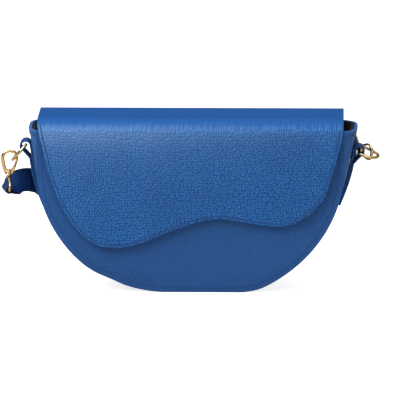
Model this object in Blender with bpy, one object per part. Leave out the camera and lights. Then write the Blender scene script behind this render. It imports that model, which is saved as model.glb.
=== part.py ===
"""Half-moon shoulder bag: leather shell, hinged flap, D-rings, snap hooks and an adjustable strap.

Metres, +Z up. The bag stands on its base at z = 0, its front faces -Y, its middle is at x = 0, y = 0.
"""
import math

import bmesh
import bpy
from mathutils import Matrix, Vector

MM = 0.001

# Bag shell
HALF_WIDTH = 130 * MM          # half the width of the front and back panels
HALF_DEPTH = 35 * MM           # half the depth over the panels
FLAP_TOP_Z = 149 * MM          # outer face of the flap's top, the bag's full height
HINGE_DOWN = 5.7 * MM          # the hinge line, at the top of the back panel, below the flap's top
RIM_DOWN = 11 * MM             # the open rim below the flap's top
CENTRE_DOWN = 30 * MM          # the ellipse's centre below the rim
CUT_OFF = 9 * MM               # how much of the half ellipse the flat base cuts off
HINGE_Z = FLAP_TOP_Z - HINGE_DOWN
RIM_Z = FLAP_TOP_Z - RIM_DOWN
CENTRE_Z = RIM_Z - CENTRE_DOWN
DROP = CENTRE_Z + CUT_OFF
BASE_CORNER_Z = 5 * MM         # height at which the outline leaves the ellipse for the flat base
BASE_HALF = 20 * MM            # half the length of the flat base
GAP = 0.3 * MM                 # clearance between touching pieces
PANEL_T = 2.0 * MM             # panel leather
GUSSET_T = 1.8 * MM
BOARD_T = 0.8 * MM             # stiffener
LINING_T = 0.7 * MM
EAR_BULGE_LEFT = 8.0 * MM      # how far the gusset's top ends stand out at mid depth
EAR_BULGE_RIGHT = 11.5 * MM
EAR_LONG = 66 * MM             # from the rim down to where the bulge begins
EAR_START_Z = RIM_Z - EAR_LONG
EAR_POWER_SHARE = 1.3
EAR_SQUARE_SHARE = 2.8         # how boxy the bulge is across the depth
ARC_STEPS = 22                 # outline steps on each side of the ellipse
CORNER_STEPS = 4
DEPTH_STEPS = 8

# Slip pocket, inside the back
POCKET_HALF = 70 * MM
POCKET_DOWN = 20 * MM          # its mouth below the rim
POCKET_LONG = 70 * MM
POCKET_TOP = RIM_Z - POCKET_DOWN
POCKET_BOTTOM = POCKET_TOP - POCKET_LONG
POCKET_T = 0.8 * MM

# Flap
FLAP_T = 1.6 * MM
FLAP_LINING_T = 0.7 * MM
FLAP_LINING_IN = 2.0 * MM      # the flap's lining stops short of its edge
FLAP_FILL = 0.9 * MM           # between the flap's leather and lining, holds the snap's washer
SNAP_SPACE = 2.2 * MM          # between the front panel and the flap's lining
REAR_FOLD_R = 5.5 * MM
FRONT_FOLD_R = 9 * MM
FOLD_STEPS = 5
HANG_STEPS = 6
FLAP_END_SHARE = 0.95          # of the front fold's radius: how high a column may end
TOP_STEPS = 3
# The flap's lower edge, as (x share of the half width, z share of the top height)
FLAP_EDGE_SHARES = (
    (-1.000, 0.960), (-0.985, 0.890), (-0.962, 0.826), (-0.938, 0.725), (-0.892, 0.611),
    (-0.823, 0.483), (-0.728, 0.356), (-0.623, 0.278), (-0.560, 0.262), (-0.492, 0.262),
    (-0.421, 0.268), (-0.354, 0.280), (-0.277, 0.306), (-0.200, 0.338), (-0.131, 0.361),
    (-0.040, 0.384), (0.062, 0.419), (0.131, 0.429), (0.181, 0.431), (0.269, 0.423),
    (0.342, 0.412), (0.412, 0.407), (0.482, 0.394), (0.554, 0.388), (0.623, 0.394),
    (0.692, 0.407), (0.762, 0.446), (0.823, 0.495), (0.865, 0.539), (0.892, 0.588),
    (0.912, 0.650), (0.935, 0.708), (0.954, 0.765), (0.972, 0.835), (0.988, 0.881),
    (1.000, 0.940),
)

# Magnetic snap
SNAP_DOWN = 56 * MM            # its middle below the rim
SNAP_Z = RIM_Z - SNAP_DOWN
SOCKET_R = 8 * MM
SOCKET_T = 1.2 * MM
SOCKET_HOLE_R = 3.6 * MM
SOCKET_FLOOR = 0.4 * MM
STUD_R = 7 * MM
STUD_T = 0.3 * MM
NUB_R = 1.8 * MM
NUB_T = 0.5 * MM
WASHER_R = 6 * MM
WASHER_T = 0.3 * MM
SNAP_SIDES = 24

# Tabs that carry the D-rings
TAB_W = 18 * MM
TAB_T = 1.6 * MM
TAB_DOWN = 67 * MM             # the tabs' lower ends below the rim
TAB_BOTTOM_Z = RIM_Z - TAB_DOWN
TAB_OFF = 0.6 * MM             # between the gusset and the tab
LOOP_R = 5.2 * MM              # outer radius of the tab's loop
LOOP_DOWN_LEFT = 16.8 * MM     # the loops' middles below the rim
LOOP_DOWN_RIGHT = 20.5 * MM
LOOP_Z_LEFT = RIM_Z - LOOP_DOWN_LEFT
LOOP_Z_RIGHT = RIM_Z - LOOP_DOWN_RIGHT
LOOP_STEPS = 12

# D-rings
WIRE_R = 1.3 * MM
RING_HALF = 11.6 * MM          # half the length of the straight bar, centre to centre
RING_REACH = 17.0 * MM         # bar centre to the far side's centre
RING_ARC_STEPS = 16

# Snap hooks, along their own axis from the eye's bar at 0
HOOK_WIRE_R = 1.4 * MM
HOOK_HALF = 6.1 * MM           # half the width of the claw, wire centre
HOOK_WIDE_B = 27 * MM          # where the claw is widest
HOOK_TOP_B = 32.6 * MM
NECK_B = 14.5 * MM             # where the claw's arms leave the collar
NECK_HALF = 2.6 * MM           # half the distance between the arms there
COLLAR_R = 3.0 * MM
COLLAR_BOTTOM_B = 11.6 * MM
COLLAR_TOP_B = 15.4 * MM
BORE_R = 1.6 * MM
GATE_FOOT_B = 18.2 * MM        # where the gate is pinned
GATE_TIP_B = 27.6 * MM         # where the gate meets the nose
GATE_R = 1.1 * MM
CHEEK_T = 0.7 * MM
PIN_R = 0.5 * MM
SHANK_R = 1.2 * MM
SHANK_TOP_B = 16.0 * MM
HEAD_R = 1.8 * MM
HEAD_T = 0.8 * MM
EYE_WIRE_R = 1.0 * MM
EYE_HALF = 11.8 * MM           # half the bar's length, wire centre
EYE_APEX_B = 10.2 * MM
EYE_BAR_SHARES = (-0.9, -0.6, -0.3, 0.0, 0.3, 0.6, 0.9)     # spots along the eye's bar
EYE_SIDE_SHARES = ((1.0, 0.1), (1.0, 0.45), (0.58, 0.8))   # along the bar and up to the apex

# Where each hook hangs: the middle of its eye's bar, the axis from the bar to the claw, and the claw's side
EYE_LEFT_OUT = 27.3 * MM       # beyond the half width
EYE_LEFT_DOWN = 37.5 * MM      # below the loop
EYE_LEFT_Y = -2.4 * MM
EYE_RIGHT_OUT = 7.8 * MM
EYE_RIGHT_DOWN = 2.9 * MM
EYE_RIGHT_Y = 34.0 * MM
EYE_LEFT = Vector((-HALF_WIDTH - EYE_LEFT_OUT, EYE_LEFT_Y, LOOP_Z_LEFT - EYE_LEFT_DOWN))
AXIS_LEFT = Vector((0.087, 0.0, 0.996))
SIDE_LEFT = Vector((1.0, 0.0, 0.0))
BAR_LEFT = Vector((-0.22, 0.975, -0.04))
EYE_RIGHT = Vector((HALF_WIDTH + EYE_RIGHT_OUT, EYE_RIGHT_Y, LOOP_Z_RIGHT - EYE_RIGHT_DOWN))
AXIS_RIGHT = Vector((0.5, -0.866, 0.0))
SIDE_RIGHT = Vector((0.0, 0.0, 1.0))
BAR_RIGHT = Vector((0.0, 0.0, 1.0))
RING_DIR_LEFT = Vector((-0.66, -0.163, -0.733))
RING_BAR_LEFT = Vector((-0.06, 0.985, -0.163))
RING_DIR_RIGHT = Vector((0.96, 0.045, -0.285))
RING_BAR_RIGHT = Vector((0.0, 0.988, 0.156))

# Strap
STRAP_W = 20 * MM
STRAP_T = 2.0 * MM
STRAP_STEP = 5 * MM
FOLD_BACK = 28 * MM            # length folded back round each bar
FOLD_OPEN = 6 * MM             # over which the two layers open round the bar
FOLD_ARC_STEPS = 6
TWIST_RUN = 14 * MM            # length over which the strap turns upright
HOLE_R = 1.5 * MM
HOLE_PLACES = (-53 * MM, -28 * MM, 22 * MM, 47 * MM)
TAIL = 62 * MM                 # how far the long part runs past the buckle's bar
BUCKLE_X = 6 * MM
BUCKLE_BEHIND = 111 * MM       # behind the bag's back
BUCKLE_Z = 14.2 * MM
BUCKLE = Vector((BUCKLE_X, HALF_DEPTH + BUCKLE_BEHIND, BUCKLE_Z))
# The strap's route, chosen by hand, in three stretches: by the eye, as offsets from it in mm; down behind the
# bag, as shares of the half width and the rim's height; and on its edge behind the bag, in mm. The middle
# number of the last two is mm behind the back.
LEAVE_LEFT = (
    (0, 0, 0), (5.5, 0.9, 3.2), (10.4, 4.0, 6.0), (17.0, 12.6, 5.6), (22.0, 22.6, 3.0), (24.2, 31.9, 0.3),
)
FALL_LEFT_SHARES = (
    (-0.99, 3.8, 0.578), (-0.908, 9.8, 0.54), (-0.708, 17.5, 0.449), (-0.538, 19.5, 0.312),
    (-0.361, 21, 0.181), (-0.185, 24, 0.101),
)
LIE_LONG = (
    (0, 26, 10.8), (30, 27, 10.3), (58, 27.5, 10.3), (69, 31, 10.3), (73, 38, 10.3), (69, 45, 10.3),
    (58, 48.5, 10.3), (25, 49.5, 10.3), (-10, 48, 10.3), (-44, 49, 10.3), (-62, 49.5, 10.3),
    (-73, 53, 10.3), (-77, 60, 10.3), (-73, 67, 10.3), (-62, 70.5, 10.3), (-30, 71, 10.3), (0, 69.5, 10.3),
    (30, 70, 10.3), (56, 70.5, 10.3), (67, 74, 10.3), (71, 81, 10.3), (67, 88, 10.3), (56, 91, 10.3),
    (25, 91.5, 10.3), (-10, 90, 10.3), (-44, 90.5, 10.3), (-62, 91.5, 10.3), (-73, 95, 10.3),
    (-77, 101.5, 10.3), (-73, 108, 10.5), (-61, 111, 11.2), (-40, 111.2, 12.8), (-20, 111, 14),
    (6, 111, 14.2), (30, 111, 14.2), (50, 111, 14.2), (75, 111, 14.2),
)
# From the buckle back up to the right eye
LIE_SHORT = (
    (-4, 111, 14.2), (6, 111, 14.2), (30, 111, 14.2), (50, 111, 14.2), (75, 110.5, 14.2),
)
RISE_RIGHT_SHARES = (
    (0.677, 104, 0.123), (0.775, 90, 0.217), (0.85, 72, 0.391), (0.905, 52, 0.587),
)
REACH_RIGHT = (
    (-14.6, 32, -10.6), (-9.6, 16.5, -1.8), (0, 0, 0),
)

# Buckle and keepers, in the buckle's own frame: u along the strap, n away from the bag
FRAME_WIRE_R = 1.2 * MM
FRAME_HALF = 12.6 * MM         # half the frame's height, wire centre
FRAME_LONG = 17 * MM           # bar to bar
PRONG_R = 0.8 * MM
PRONG_OVER = 1.8 * MM          # how far the prong runs past the front bar
SLOT_HALF = 1.3 * MM           # half the width of the slots for the prong
SLOT_NEAR = 1.5 * MM           # the long part's slot, from the bar
SLOT_FAR = 15 * MM
KEEPER_W = 8 * MM
KEEPER_T = 1.2 * MM
KEEPER_FIXED_U = 14 * MM       # from the buckle's bar
KEEPER_SLIDING_U = 40 * MM

OVERRUN = 1 * MM               # how far a cutter runs past what it cuts

# Rounding and steps
HALF_TURN = math.pi
LOOP_TURN = math.radians(250)
PRONG_START = math.radians(-150)
PRONG_TURN = math.radians(240)
SHEET_CREASE = math.radians(35)
ROUND_CREASE = math.radians(50)
PRONG_STEPS = 8
HOOK_STEPS = 10
HOOK_ROUND = 3
GATE_STEPS = 6
RUN_STEPS = 4
CURVE_STEPS = 12
ROD_SIDES = 16
PIN_SIDES = 12
RISE_SHARES = (0.25, 0.5, 0.75, 1.0)
BRIDGE_START_SHARE = 0.3
BRIDGE_END_SHARE = 0.42
BRIDGE_T_SHARE = 0.9

# Finishes
LEATHER_ROUGH = 0.45
CLOTH_ROUGH = 0.8
GOLD_ROUGH = 0.18
STEEL_ROUGH = 0.4

LEATHER = (0.018, 0.107, 0.319, 1.0)
LINING = (0.012, 0.012, 0.015, 1.0)
GOLD = (0.80, 0.58, 0.29, 1.0)
STEEL = (0.55, 0.55, 0.56, 1.0)
BOARD = (0.25, 0.20, 0.15, 1.0)


def clear_scene():
    for item in list(bpy.data.objects):
        bpy.data.objects.remove(item, do_unlink=True)


def material(name, colour, roughness, metallic=0.0):
    made = bpy.data.materials.new(name)
    made.use_nodes = True
    shader = made.node_tree.nodes["Principled BSDF"]
    shader.inputs["Base Color"].default_value = colour
    shader.inputs["Roughness"].default_value = roughness
    shader.inputs["Metallic"].default_value = metallic
    return made


def leather(name):
    return material(name, LEATHER, LEATHER_ROUGH)


def lining(name):
    return material(name, LINING, CLOTH_ROUGH)


def gold(name):
    return material(name, GOLD, GOLD_ROUGH, 1.0)


def add(name, mesh, finish, origin=None):
    """Link a mesh that is in world places, with the object's origin moved to its joint."""
    item = bpy.data.objects.new(name, mesh)
    bpy.context.collection.objects.link(item)
    if origin is not None:
        mesh.transform(Matrix.Translation(-origin))
        item.location = origin
    mesh.materials.append(finish)
    return item


def mesh_from(name, points, faces, smooth=True):
    mesh = bpy.data.meshes.new(name)
    mesh.from_pydata([tuple(p) for p in points], [], faces)
    shell = bmesh.new()
    shell.from_mesh(mesh)
    bmesh.ops.recalc_face_normals(shell, faces=shell.faces)
    shell.to_mesh(mesh)
    shell.free()
    if smooth:
        mesh.shade_smooth()
        mesh.set_sharp_from_angle(angle=SHEET_CREASE)
    return mesh


def sheet_solid(name, outer, inner, finish, origin=None):
    """A closed sheet between two grids of points, rows of equal length."""
    rows, columns = len(outer), len(outer[0])
    points = [p for row in outer for p in row] + [p for row in inner for p in row]
    lower = rows * columns
    faces = []
    for i in range(rows - 1):
        for j in range(columns - 1):
            a = i * columns + j
            faces.append((a, a + 1, a + columns + 1, a + columns))
            faces.append((lower + a, lower + a + columns, lower + a + columns + 1, lower + a + 1))
    border = [j for j in range(columns)]
    border += [i * columns + columns - 1 for i in range(1, rows)]
    border += [(rows - 1) * columns + j for j in range(columns - 2, -1, -1)]
    border += [i * columns for i in range(rows - 2, 0, -1)]
    for k, a in enumerate(border):
        b = border[(k + 1) % len(border)]
        faces.append((a, lower + a, lower + b, b))
    return add(name, mesh_from(name, points, faces), finish, origin)


def swept(name, centres, sides, normals, half_w, half_t, finish=None, origin=None):
    """A flat strip: a rectangle carried along centres, wide along sides and thick along normals."""
    points, faces = [], []
    for c, w, n in zip(centres, sides, normals):
        points += [c - w * half_w - n * half_t, c + w * half_w - n * half_t]
        points += [c + w * half_w + n * half_t, c - w * half_w + n * half_t]
    for i in range(len(centres) - 1):
        a = 4 * i
        for k in range(4):
            faces.append((a + k, a + (k + 1) % 4, a + 4 + (k + 1) % 4, a + 4 + k))
    end = 4 * (len(centres) - 1)
    faces += [(0, 3, 2, 1), (end, end + 1, end + 2, end + 3)]
    mesh = mesh_from(name, points, faces)
    return add(name, mesh, finish, origin) if finish else mesh


def tube(name, points, radius, finish, closed=False, origin=None, resolution=2):
    """A round wire along points, as a curve turned to a mesh."""
    curve = bpy.data.curves.new(name, "CURVE")
    curve.dimensions = "3D"
    curve.bevel_depth = radius
    curve.bevel_resolution = resolution
    curve.use_fill_caps = not closed
    line = curve.splines.new("POLY")
    line.points.add(len(points) - 1)
    for spot, p in zip(line.points, points):
        spot.co = (p[0], p[1], p[2], 1.0)
    line.use_cyclic_u = closed
    guide = bpy.data.objects.new(name + "_line", curve)
    bpy.context.collection.objects.link(guide)
    bpy.context.view_layer.update()
    mesh = bpy.data.meshes.new_from_object(guide.evaluated_get(bpy.context.evaluated_depsgraph_get()))
    bpy.data.objects.remove(guide, do_unlink=True)
    mesh.materials.clear()
    shell = bmesh.new()
    shell.from_mesh(mesh)
    bmesh.ops.remove_doubles(shell, verts=shell.verts, dist=radius / 100)
    bmesh.ops.recalc_face_normals(shell, faces=shell.faces)
    shell.to_mesh(mesh)
    shell.free()
    mesh.shade_smooth()
    mesh.set_sharp_from_angle(angle=ROUND_CREASE)
    return add(name, mesh, finish, origin)


def rod(name, start, end, radius, finish=None, sides=ROD_SIDES, hidden=False):
    """A round bar from start to end. Hidden ones are cutters."""
    along = end - start
    shell = bmesh.new()
    bmesh.ops.create_cone(
        shell, cap_ends=True, segments=sides, radius1=radius, radius2=radius, depth=along.length
    )
    mesh = bpy.data.meshes.new(name)
    shell.to_mesh(mesh)
    shell.free()
    turn = along.to_track_quat("Z", "Y").to_matrix().to_4x4()
    mesh.transform(Matrix.Translation((start + end) / 2) @ turn)
    mesh.shade_smooth()
    mesh.set_sharp_from_angle(angle=ROUND_CREASE)
    item = bpy.data.objects.new(name, mesh)
    bpy.context.collection.objects.link(item)
    if hidden:
        item.hide_render = True
        item.display_type = "WIRE"
    if finish:
        mesh.materials.append(finish)
    return item


def combine(item, other, operation):
    """Join or cut with another object, and remove that object."""
    step = item.modifiers.new(other.name, "BOOLEAN")
    step.object = other
    step.operation = operation
    step.solver = "EXACT"
    bpy.context.view_layer.update()
    mesh = bpy.data.meshes.new_from_object(item.evaluated_get(bpy.context.evaluated_depsgraph_get()))
    old = item.data
    item.modifiers.clear()
    item.data = mesh
    mesh.name = item.name
    bpy.data.meshes.remove(old)
    bpy.data.objects.remove(other, do_unlink=True)


# The outline of the half moon


def outline(inset):
    """Points (x, z) from the left rim round the base to the right rim, moved inwards by inset."""
    lowest = math.asin((CENTRE_Z - BASE_CORNER_Z) / DROP)
    side = [Vector((HALF_WIDTH, RIM_Z)), Vector((HALF_WIDTH, (RIM_Z + CENTRE_Z) / 2))]
    for i in range(ARC_STEPS + 1):
        angle = lowest * i / ARC_STEPS
        side.append(Vector((HALF_WIDTH * math.cos(angle), CENTRE_Z - DROP * math.sin(angle))))
    start, end = side[-1], Vector((BASE_HALF, 0))
    slope = Vector((-HALF_WIDTH * math.sin(lowest), -DROP * math.cos(lowest)))
    middle = start + slope * (start.y / -slope.y)
    for i in range(1, CORNER_STEPS + 1):
        t = i / CORNER_STEPS
        side.append(start * (1 - t) ** 2 + middle * 2 * t * (1 - t) + end * t * t)
    side.append(Vector((BASE_HALF / 3, 0)))
    line = [Vector((-p.x, p.y)) for p in side] + list(reversed(side))
    moved = []
    for i, p in enumerate(line):
        before, after = line[max(i - 1, 0)], line[min(i + 1, len(line) - 1)]
        along = (after - before).normalized()
        if i in (0, len(line) - 1):
            along = Vector((0, -1 if i == 0 else 1))
        moved.append(p + Vector((-along.y, along.x)) * inset)
    return moved


def bulge(z, y, sign):
    """How far the gusset's left (-1) or right (1) ear stands out at a height and depth."""
    if z <= EAR_START_Z:
        return 0.0
    rise = ((z - EAR_START_Z) / (RIM_Z - EAR_START_Z)) ** EAR_POWER_SHARE
    high = EAR_BULGE_LEFT if sign < 0 else EAR_BULGE_RIGHT
    return high * rise * max(0.0, 1 - abs(y / HALF_DEPTH) ** EAR_SQUARE_SHARE)


def shell_grid(inset, half_depth, lower_rim=0.0):
    """Rows of points over the depth, following the outline at an inset and the ears."""
    rows = []
    for x, z in outline(inset):
        z = min(z, RIM_Z - lower_rim)
        row = []
        for j in range(DEPTH_STEPS + 1):
            y = half_depth * (2 * j / DEPTH_STEPS - 1)
            row.append(Vector((x + math.copysign(bulge(z, y, x), x), y, z)))
        rows.append(row)
    return rows


def band(name, inset, thickness, half_depth, finish, lower_rim=0.0):
    outer = shell_grid(inset, half_depth, lower_rim)
    inner = shell_grid(inset + thickness, half_depth, lower_rim)
    return sheet_solid(name, outer, inner, finish)


def panel(name, line, front_y, thickness, finish):
    """A flat plate with the outline line, from front_y back by thickness."""
    points = [Vector((x, front_y, z)) for x, z in line] + [Vector((x, front_y + thickness, z)) for x, z in line]
    count = len(line)
    faces = [tuple(range(count)), tuple(range(2 * count - 1, count - 1, -1))]
    faces += [(i, (i + 1) % count, count + (i + 1) % count, count + i) for i in range(count)]
    return add(name, mesh_from(name, points, faces), finish)


LINING_INSET = GUSSET_T + GAP + BOARD_T + 3 * GAP
LINING_GAP = GAP + WASHER_T + GAP + WASHER_T
EDGE_HALF = HALF_DEPTH - PANEL_T - GAP


def build_shell():
    edge = outline(0)
    panel("front_panel", edge, -HALF_DEPTH, PANEL_T, leather("front_leather"))
    back = list(edge)
    back[0] = Vector((-HALF_WIDTH, HINGE_Z - GAP / 2))
    back[-1] = Vector((HALF_WIDTH, HINGE_Z - GAP / 2))
    panel("back_panel", back, HALF_DEPTH - PANEL_T, PANEL_T, leather("back_leather"))
    band("gusset", 0, GUSSET_T, EDGE_HALF, leather("gusset_leather"))
    board = material("board", BOARD, CLOTH_ROUGH)
    band("gusset_stiffener", GUSSET_T + GAP, BOARD_T, EDGE_HALF - GAP, board, 2 * GAP)
    lining_half = EDGE_HALF + GAP - LINING_GAP - LINING_T - GAP
    band("gusset_lining", LINING_INSET, LINING_T, lining_half, lining("gusset_cloth"), GAP)
    inner = outline(LINING_INSET)
    front_y = -HALF_DEPTH + PANEL_T + LINING_GAP
    panel("front_lining", inner, front_y, LINING_T, lining("front_cloth"))
    back_y = HALF_DEPTH - PANEL_T - LINING_GAP - LINING_T
    panel("back_lining", inner, back_y, LINING_T, lining("back_cloth"))
    pocket = [
        Vector((-POCKET_HALF, POCKET_TOP)), Vector((-POCKET_HALF, POCKET_BOTTOM)),
        Vector((POCKET_HALF, POCKET_BOTTOM)), Vector((POCKET_HALF, POCKET_TOP)),
    ]
    panel("slip_pocket", pocket, back_y - GAP - POCKET_T, POCKET_T, lining("pocket_cloth"))


# Flap: rows run from the hinge over the top and down the front


def flap_profile(depth_in):
    """The flap's section as (y, z) with its lengths, for a surface depth_in below the outer face."""
    rear_y = HALF_DEPTH
    front_y = -(HALF_DEPTH + SNAP_SPACE + FLAP_LINING_T + FLAP_FILL + FLAP_T)
    rows = [(rear_y - depth_in, HINGE_Z + GAP / 2)]
    rear = Vector((rear_y - REAR_FOLD_R, FLAP_TOP_Z - REAR_FOLD_R))
    for i in range(FOLD_STEPS + 1):
        angle = HALF_TURN / 2 * i / FOLD_STEPS
        r = REAR_FOLD_R - depth_in
        rows.append((rear.x + r * math.cos(angle), rear.y + r * math.sin(angle)))
    front = Vector((front_y + FRONT_FOLD_R, FLAP_TOP_Z - FRONT_FOLD_R))
    for i in range(1, TOP_STEPS):
        y = rear.x + (front.x - rear.x) * i / TOP_STEPS
        rows.append((y, FLAP_TOP_Z - depth_in))
    return rows, front


def flap_grid(depth_in, trim):
    """The flap's surface, column by column, with its edges drawn in by trim."""
    rows, front = flap_profile(depth_in)
    r = FRONT_FOLD_R - depth_in
    grid = []
    for x_share, z_share in FLAP_EDGE_SHARES:
        x = x_share * (HALF_WIDTH - trim)
        low = z_share * FLAP_TOP_Z + trim
        column = [Vector((x, y, z)) for y, z in rows]
        sweep = math.acos(min(max((low - front.y) / r, 0.0), FLAP_END_SHARE))
        steps = FOLD_STEPS if low < front.y - GAP else FOLD_STEPS + HANG_STEPS
        for i in range(steps + 1):
            angle = sweep * i / steps
            column.append(Vector((x, front.x - r * math.sin(angle), front.y + r * math.cos(angle))))
        if steps == FOLD_STEPS:
            for i in range(1, HANG_STEPS + 1):
                column.append(Vector((x, front.x - r, front.y - (front.y - low) * i / HANG_STEPS)))
        grid.append(column)
    return grid


def build_flap():
    hinge = Vector((0, HALF_DEPTH + GAP, HINGE_Z))
    sheet_solid("flap_leather", flap_grid(0, 0), flap_grid(FLAP_T, 0), leather("flap_grain"), hinge)
    below = FLAP_T + FLAP_FILL
    inner = flap_grid(below, FLAP_LINING_IN), flap_grid(below + FLAP_LINING_T, FLAP_LINING_IN)
    sheet_solid("flap_lining", inner[0], inner[1], lining("flap_cloth"), hinge)


def disc(name, y_start, y_end, radius, finish):
    return rod(name, Vector((0, y_start, SNAP_Z)), Vector((0, y_end, SNAP_Z)), radius, finish, SNAP_SIDES)


def build_snap():
    face = -HALF_DEPTH
    socket = disc("snap_socket", face - GAP, face - GAP - SOCKET_T, SOCKET_R, gold("socket_metal"))
    floor = face - GAP - SOCKET_FLOOR
    hole = rod("hole", Vector((0, floor, SNAP_Z)), Vector((0, floor - SOCKET_T, SNAP_Z)), SOCKET_HOLE_R, None, SNAP_SIDES, True)
    combine(socket, hole, "DIFFERENCE")
    inside = face + PANEL_T + GAP
    disc("snap_socket_washer", inside, inside + WASHER_T, WASHER_R, material("washer_steel", STEEL, STEEL_ROUGH, 1.0))
    under = face - SNAP_SPACE + GAP
    stud = disc("snap_stud", under, under + STUD_T, STUD_R, gold("stud_metal"))
    nub = disc("nub", under + STUD_T / 2, under + STUD_T + NUB_T, NUB_R, None)
    combine(stud, nub, "UNION")
    above = face - SNAP_SPACE - FLAP_LINING_T - GAP
    disc("snap_stud_washer", above, above - WASHER_T, WASHER_R, material("stud_washer_steel", STEEL, STEEL_ROUGH, 1.0))


# Tabs and D-rings


def gusset_face(z, sign):
    """The gusset's outer face at mid depth."""
    below = max(0.0, CENTRE_Z - z)
    return HALF_WIDTH * math.sqrt(max(0.0, 1 - (below / DROP) ** 2)) + bulge(z, 0, sign)


def loop_centre(loop_z, sign):
    return Vector((gusset_face(loop_z, sign) + TAB_OFF + LOOP_R, 0, loop_z))


def build_tab(name, sign, loop_z):
    """A strip folded over: up the gusset, round the ring's bar, and down over itself."""
    centre = loop_centre(loop_z, sign)
    r = LOOP_R - TAB_T / 2
    line = []
    start = TAB_BOTTOM_Z
    top = loop_z - LOOP_R / 2
    for i in range(LOOP_STEPS):
        z = start + (top - start) * i / LOOP_STEPS
        line.append(Vector((gusset_face(z, sign) + TAB_OFF + TAB_T / 2, 0, z)))
    for i in range(LOOP_STEPS + 1):
        angle = HALF_TURN - LOOP_TURN * i / LOOP_STEPS
        line.append(centre + Vector((r * math.cos(angle), 0, r * math.sin(angle))))
    low = loop_z - 2 * LOOP_R
    for i in range(LOOP_STEPS + 1):
        z = low + (start - low) * i / LOOP_STEPS
        line.append(Vector((gusset_face(z, sign) + TAB_OFF + GAP + 3 * TAB_T / 2, 0, z)))
    normals = []
    for i, p in enumerate(line):
        along = (line[min(i + 1, len(line) - 1)] - line[max(i - 1, 0)]).normalized()
        normals.append(Vector((sign * -along.z, 0, along.x)))
    centres = [Vector((sign * p.x, p.y, p.z)) for p in line]
    side = Vector((0, 1, 0))
    swept(name, centres, [side] * len(line), normals, TAB_W / 2, TAB_T / 2, leather(name + "_leather"))


def build_ring(name, sign, loop_z, reach, bar):
    """A D-ring whose straight bar lies in the tab's loop."""
    reach = reach.normalized()
    bar = (bar - reach * bar.dot(reach)).normalized()
    centre = loop_centre(loop_z, sign)
    play = LOOP_R - TAB_T - WIRE_R - 2 * GAP - abs(bar.z) * TAB_W / 2
    pivot = Vector((sign * centre.x, 0, centre.z)) + reach * max(play, 0)
    straight = RING_REACH - RING_HALF
    corner = 2 * WIRE_R
    line = [
        pivot - bar * (RING_HALF - corner / 3) + reach * corner / 3,
        pivot - bar * (RING_HALF - corner),
        pivot,
        pivot + bar * (RING_HALF - corner),
        pivot + bar * (RING_HALF - corner / 3) + reach * corner / 3,
        pivot + bar * RING_HALF + reach * corner,
    ]
    for i in range(RING_ARC_STEPS + 1):
        angle = HALF_TURN * (1 / 2 - i / RING_ARC_STEPS)
        line.append(pivot + reach * (straight + RING_HALF * math.cos(angle)) + bar * RING_HALF * math.sin(angle))
    line.append(pivot - bar * RING_HALF + reach * corner)
    tube(name, line, WIRE_R, gold(name + "_metal"), True, pivot)
    return pivot


# Snap hooks


class Frame:
    """A hook's own frame: b along its axis from the eye's bar, a to its side, c through its thickness."""

    def __init__(self, origin, axis, side):
        self.origin = origin
        self.b = axis.normalized()
        self.a = (side - self.b * side.dot(self.b)).normalized()
        self.c = self.a.cross(self.b)

    def at(self, a, b, c=0.0):
        return self.origin + self.a * a + self.b * b + self.c * c


def claw_half(b):
    """Half the claw's width at b, wire centre: a drop shape."""
    if b >= HOOK_WIDE_B:
        rise = (b - HOOK_WIDE_B) / (HOOK_TOP_B - HOOK_WIDE_B)
        return HOOK_HALF * math.sqrt(max(0.0, 1 - rise * rise))
    fall = (HOOK_WIDE_B - b) / (HOOK_WIDE_B - NECK_B)
    return HOOK_HALF - (HOOK_HALF - NECK_HALF) * (1 - math.cos(fall * HALF_TURN / 2))


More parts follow.
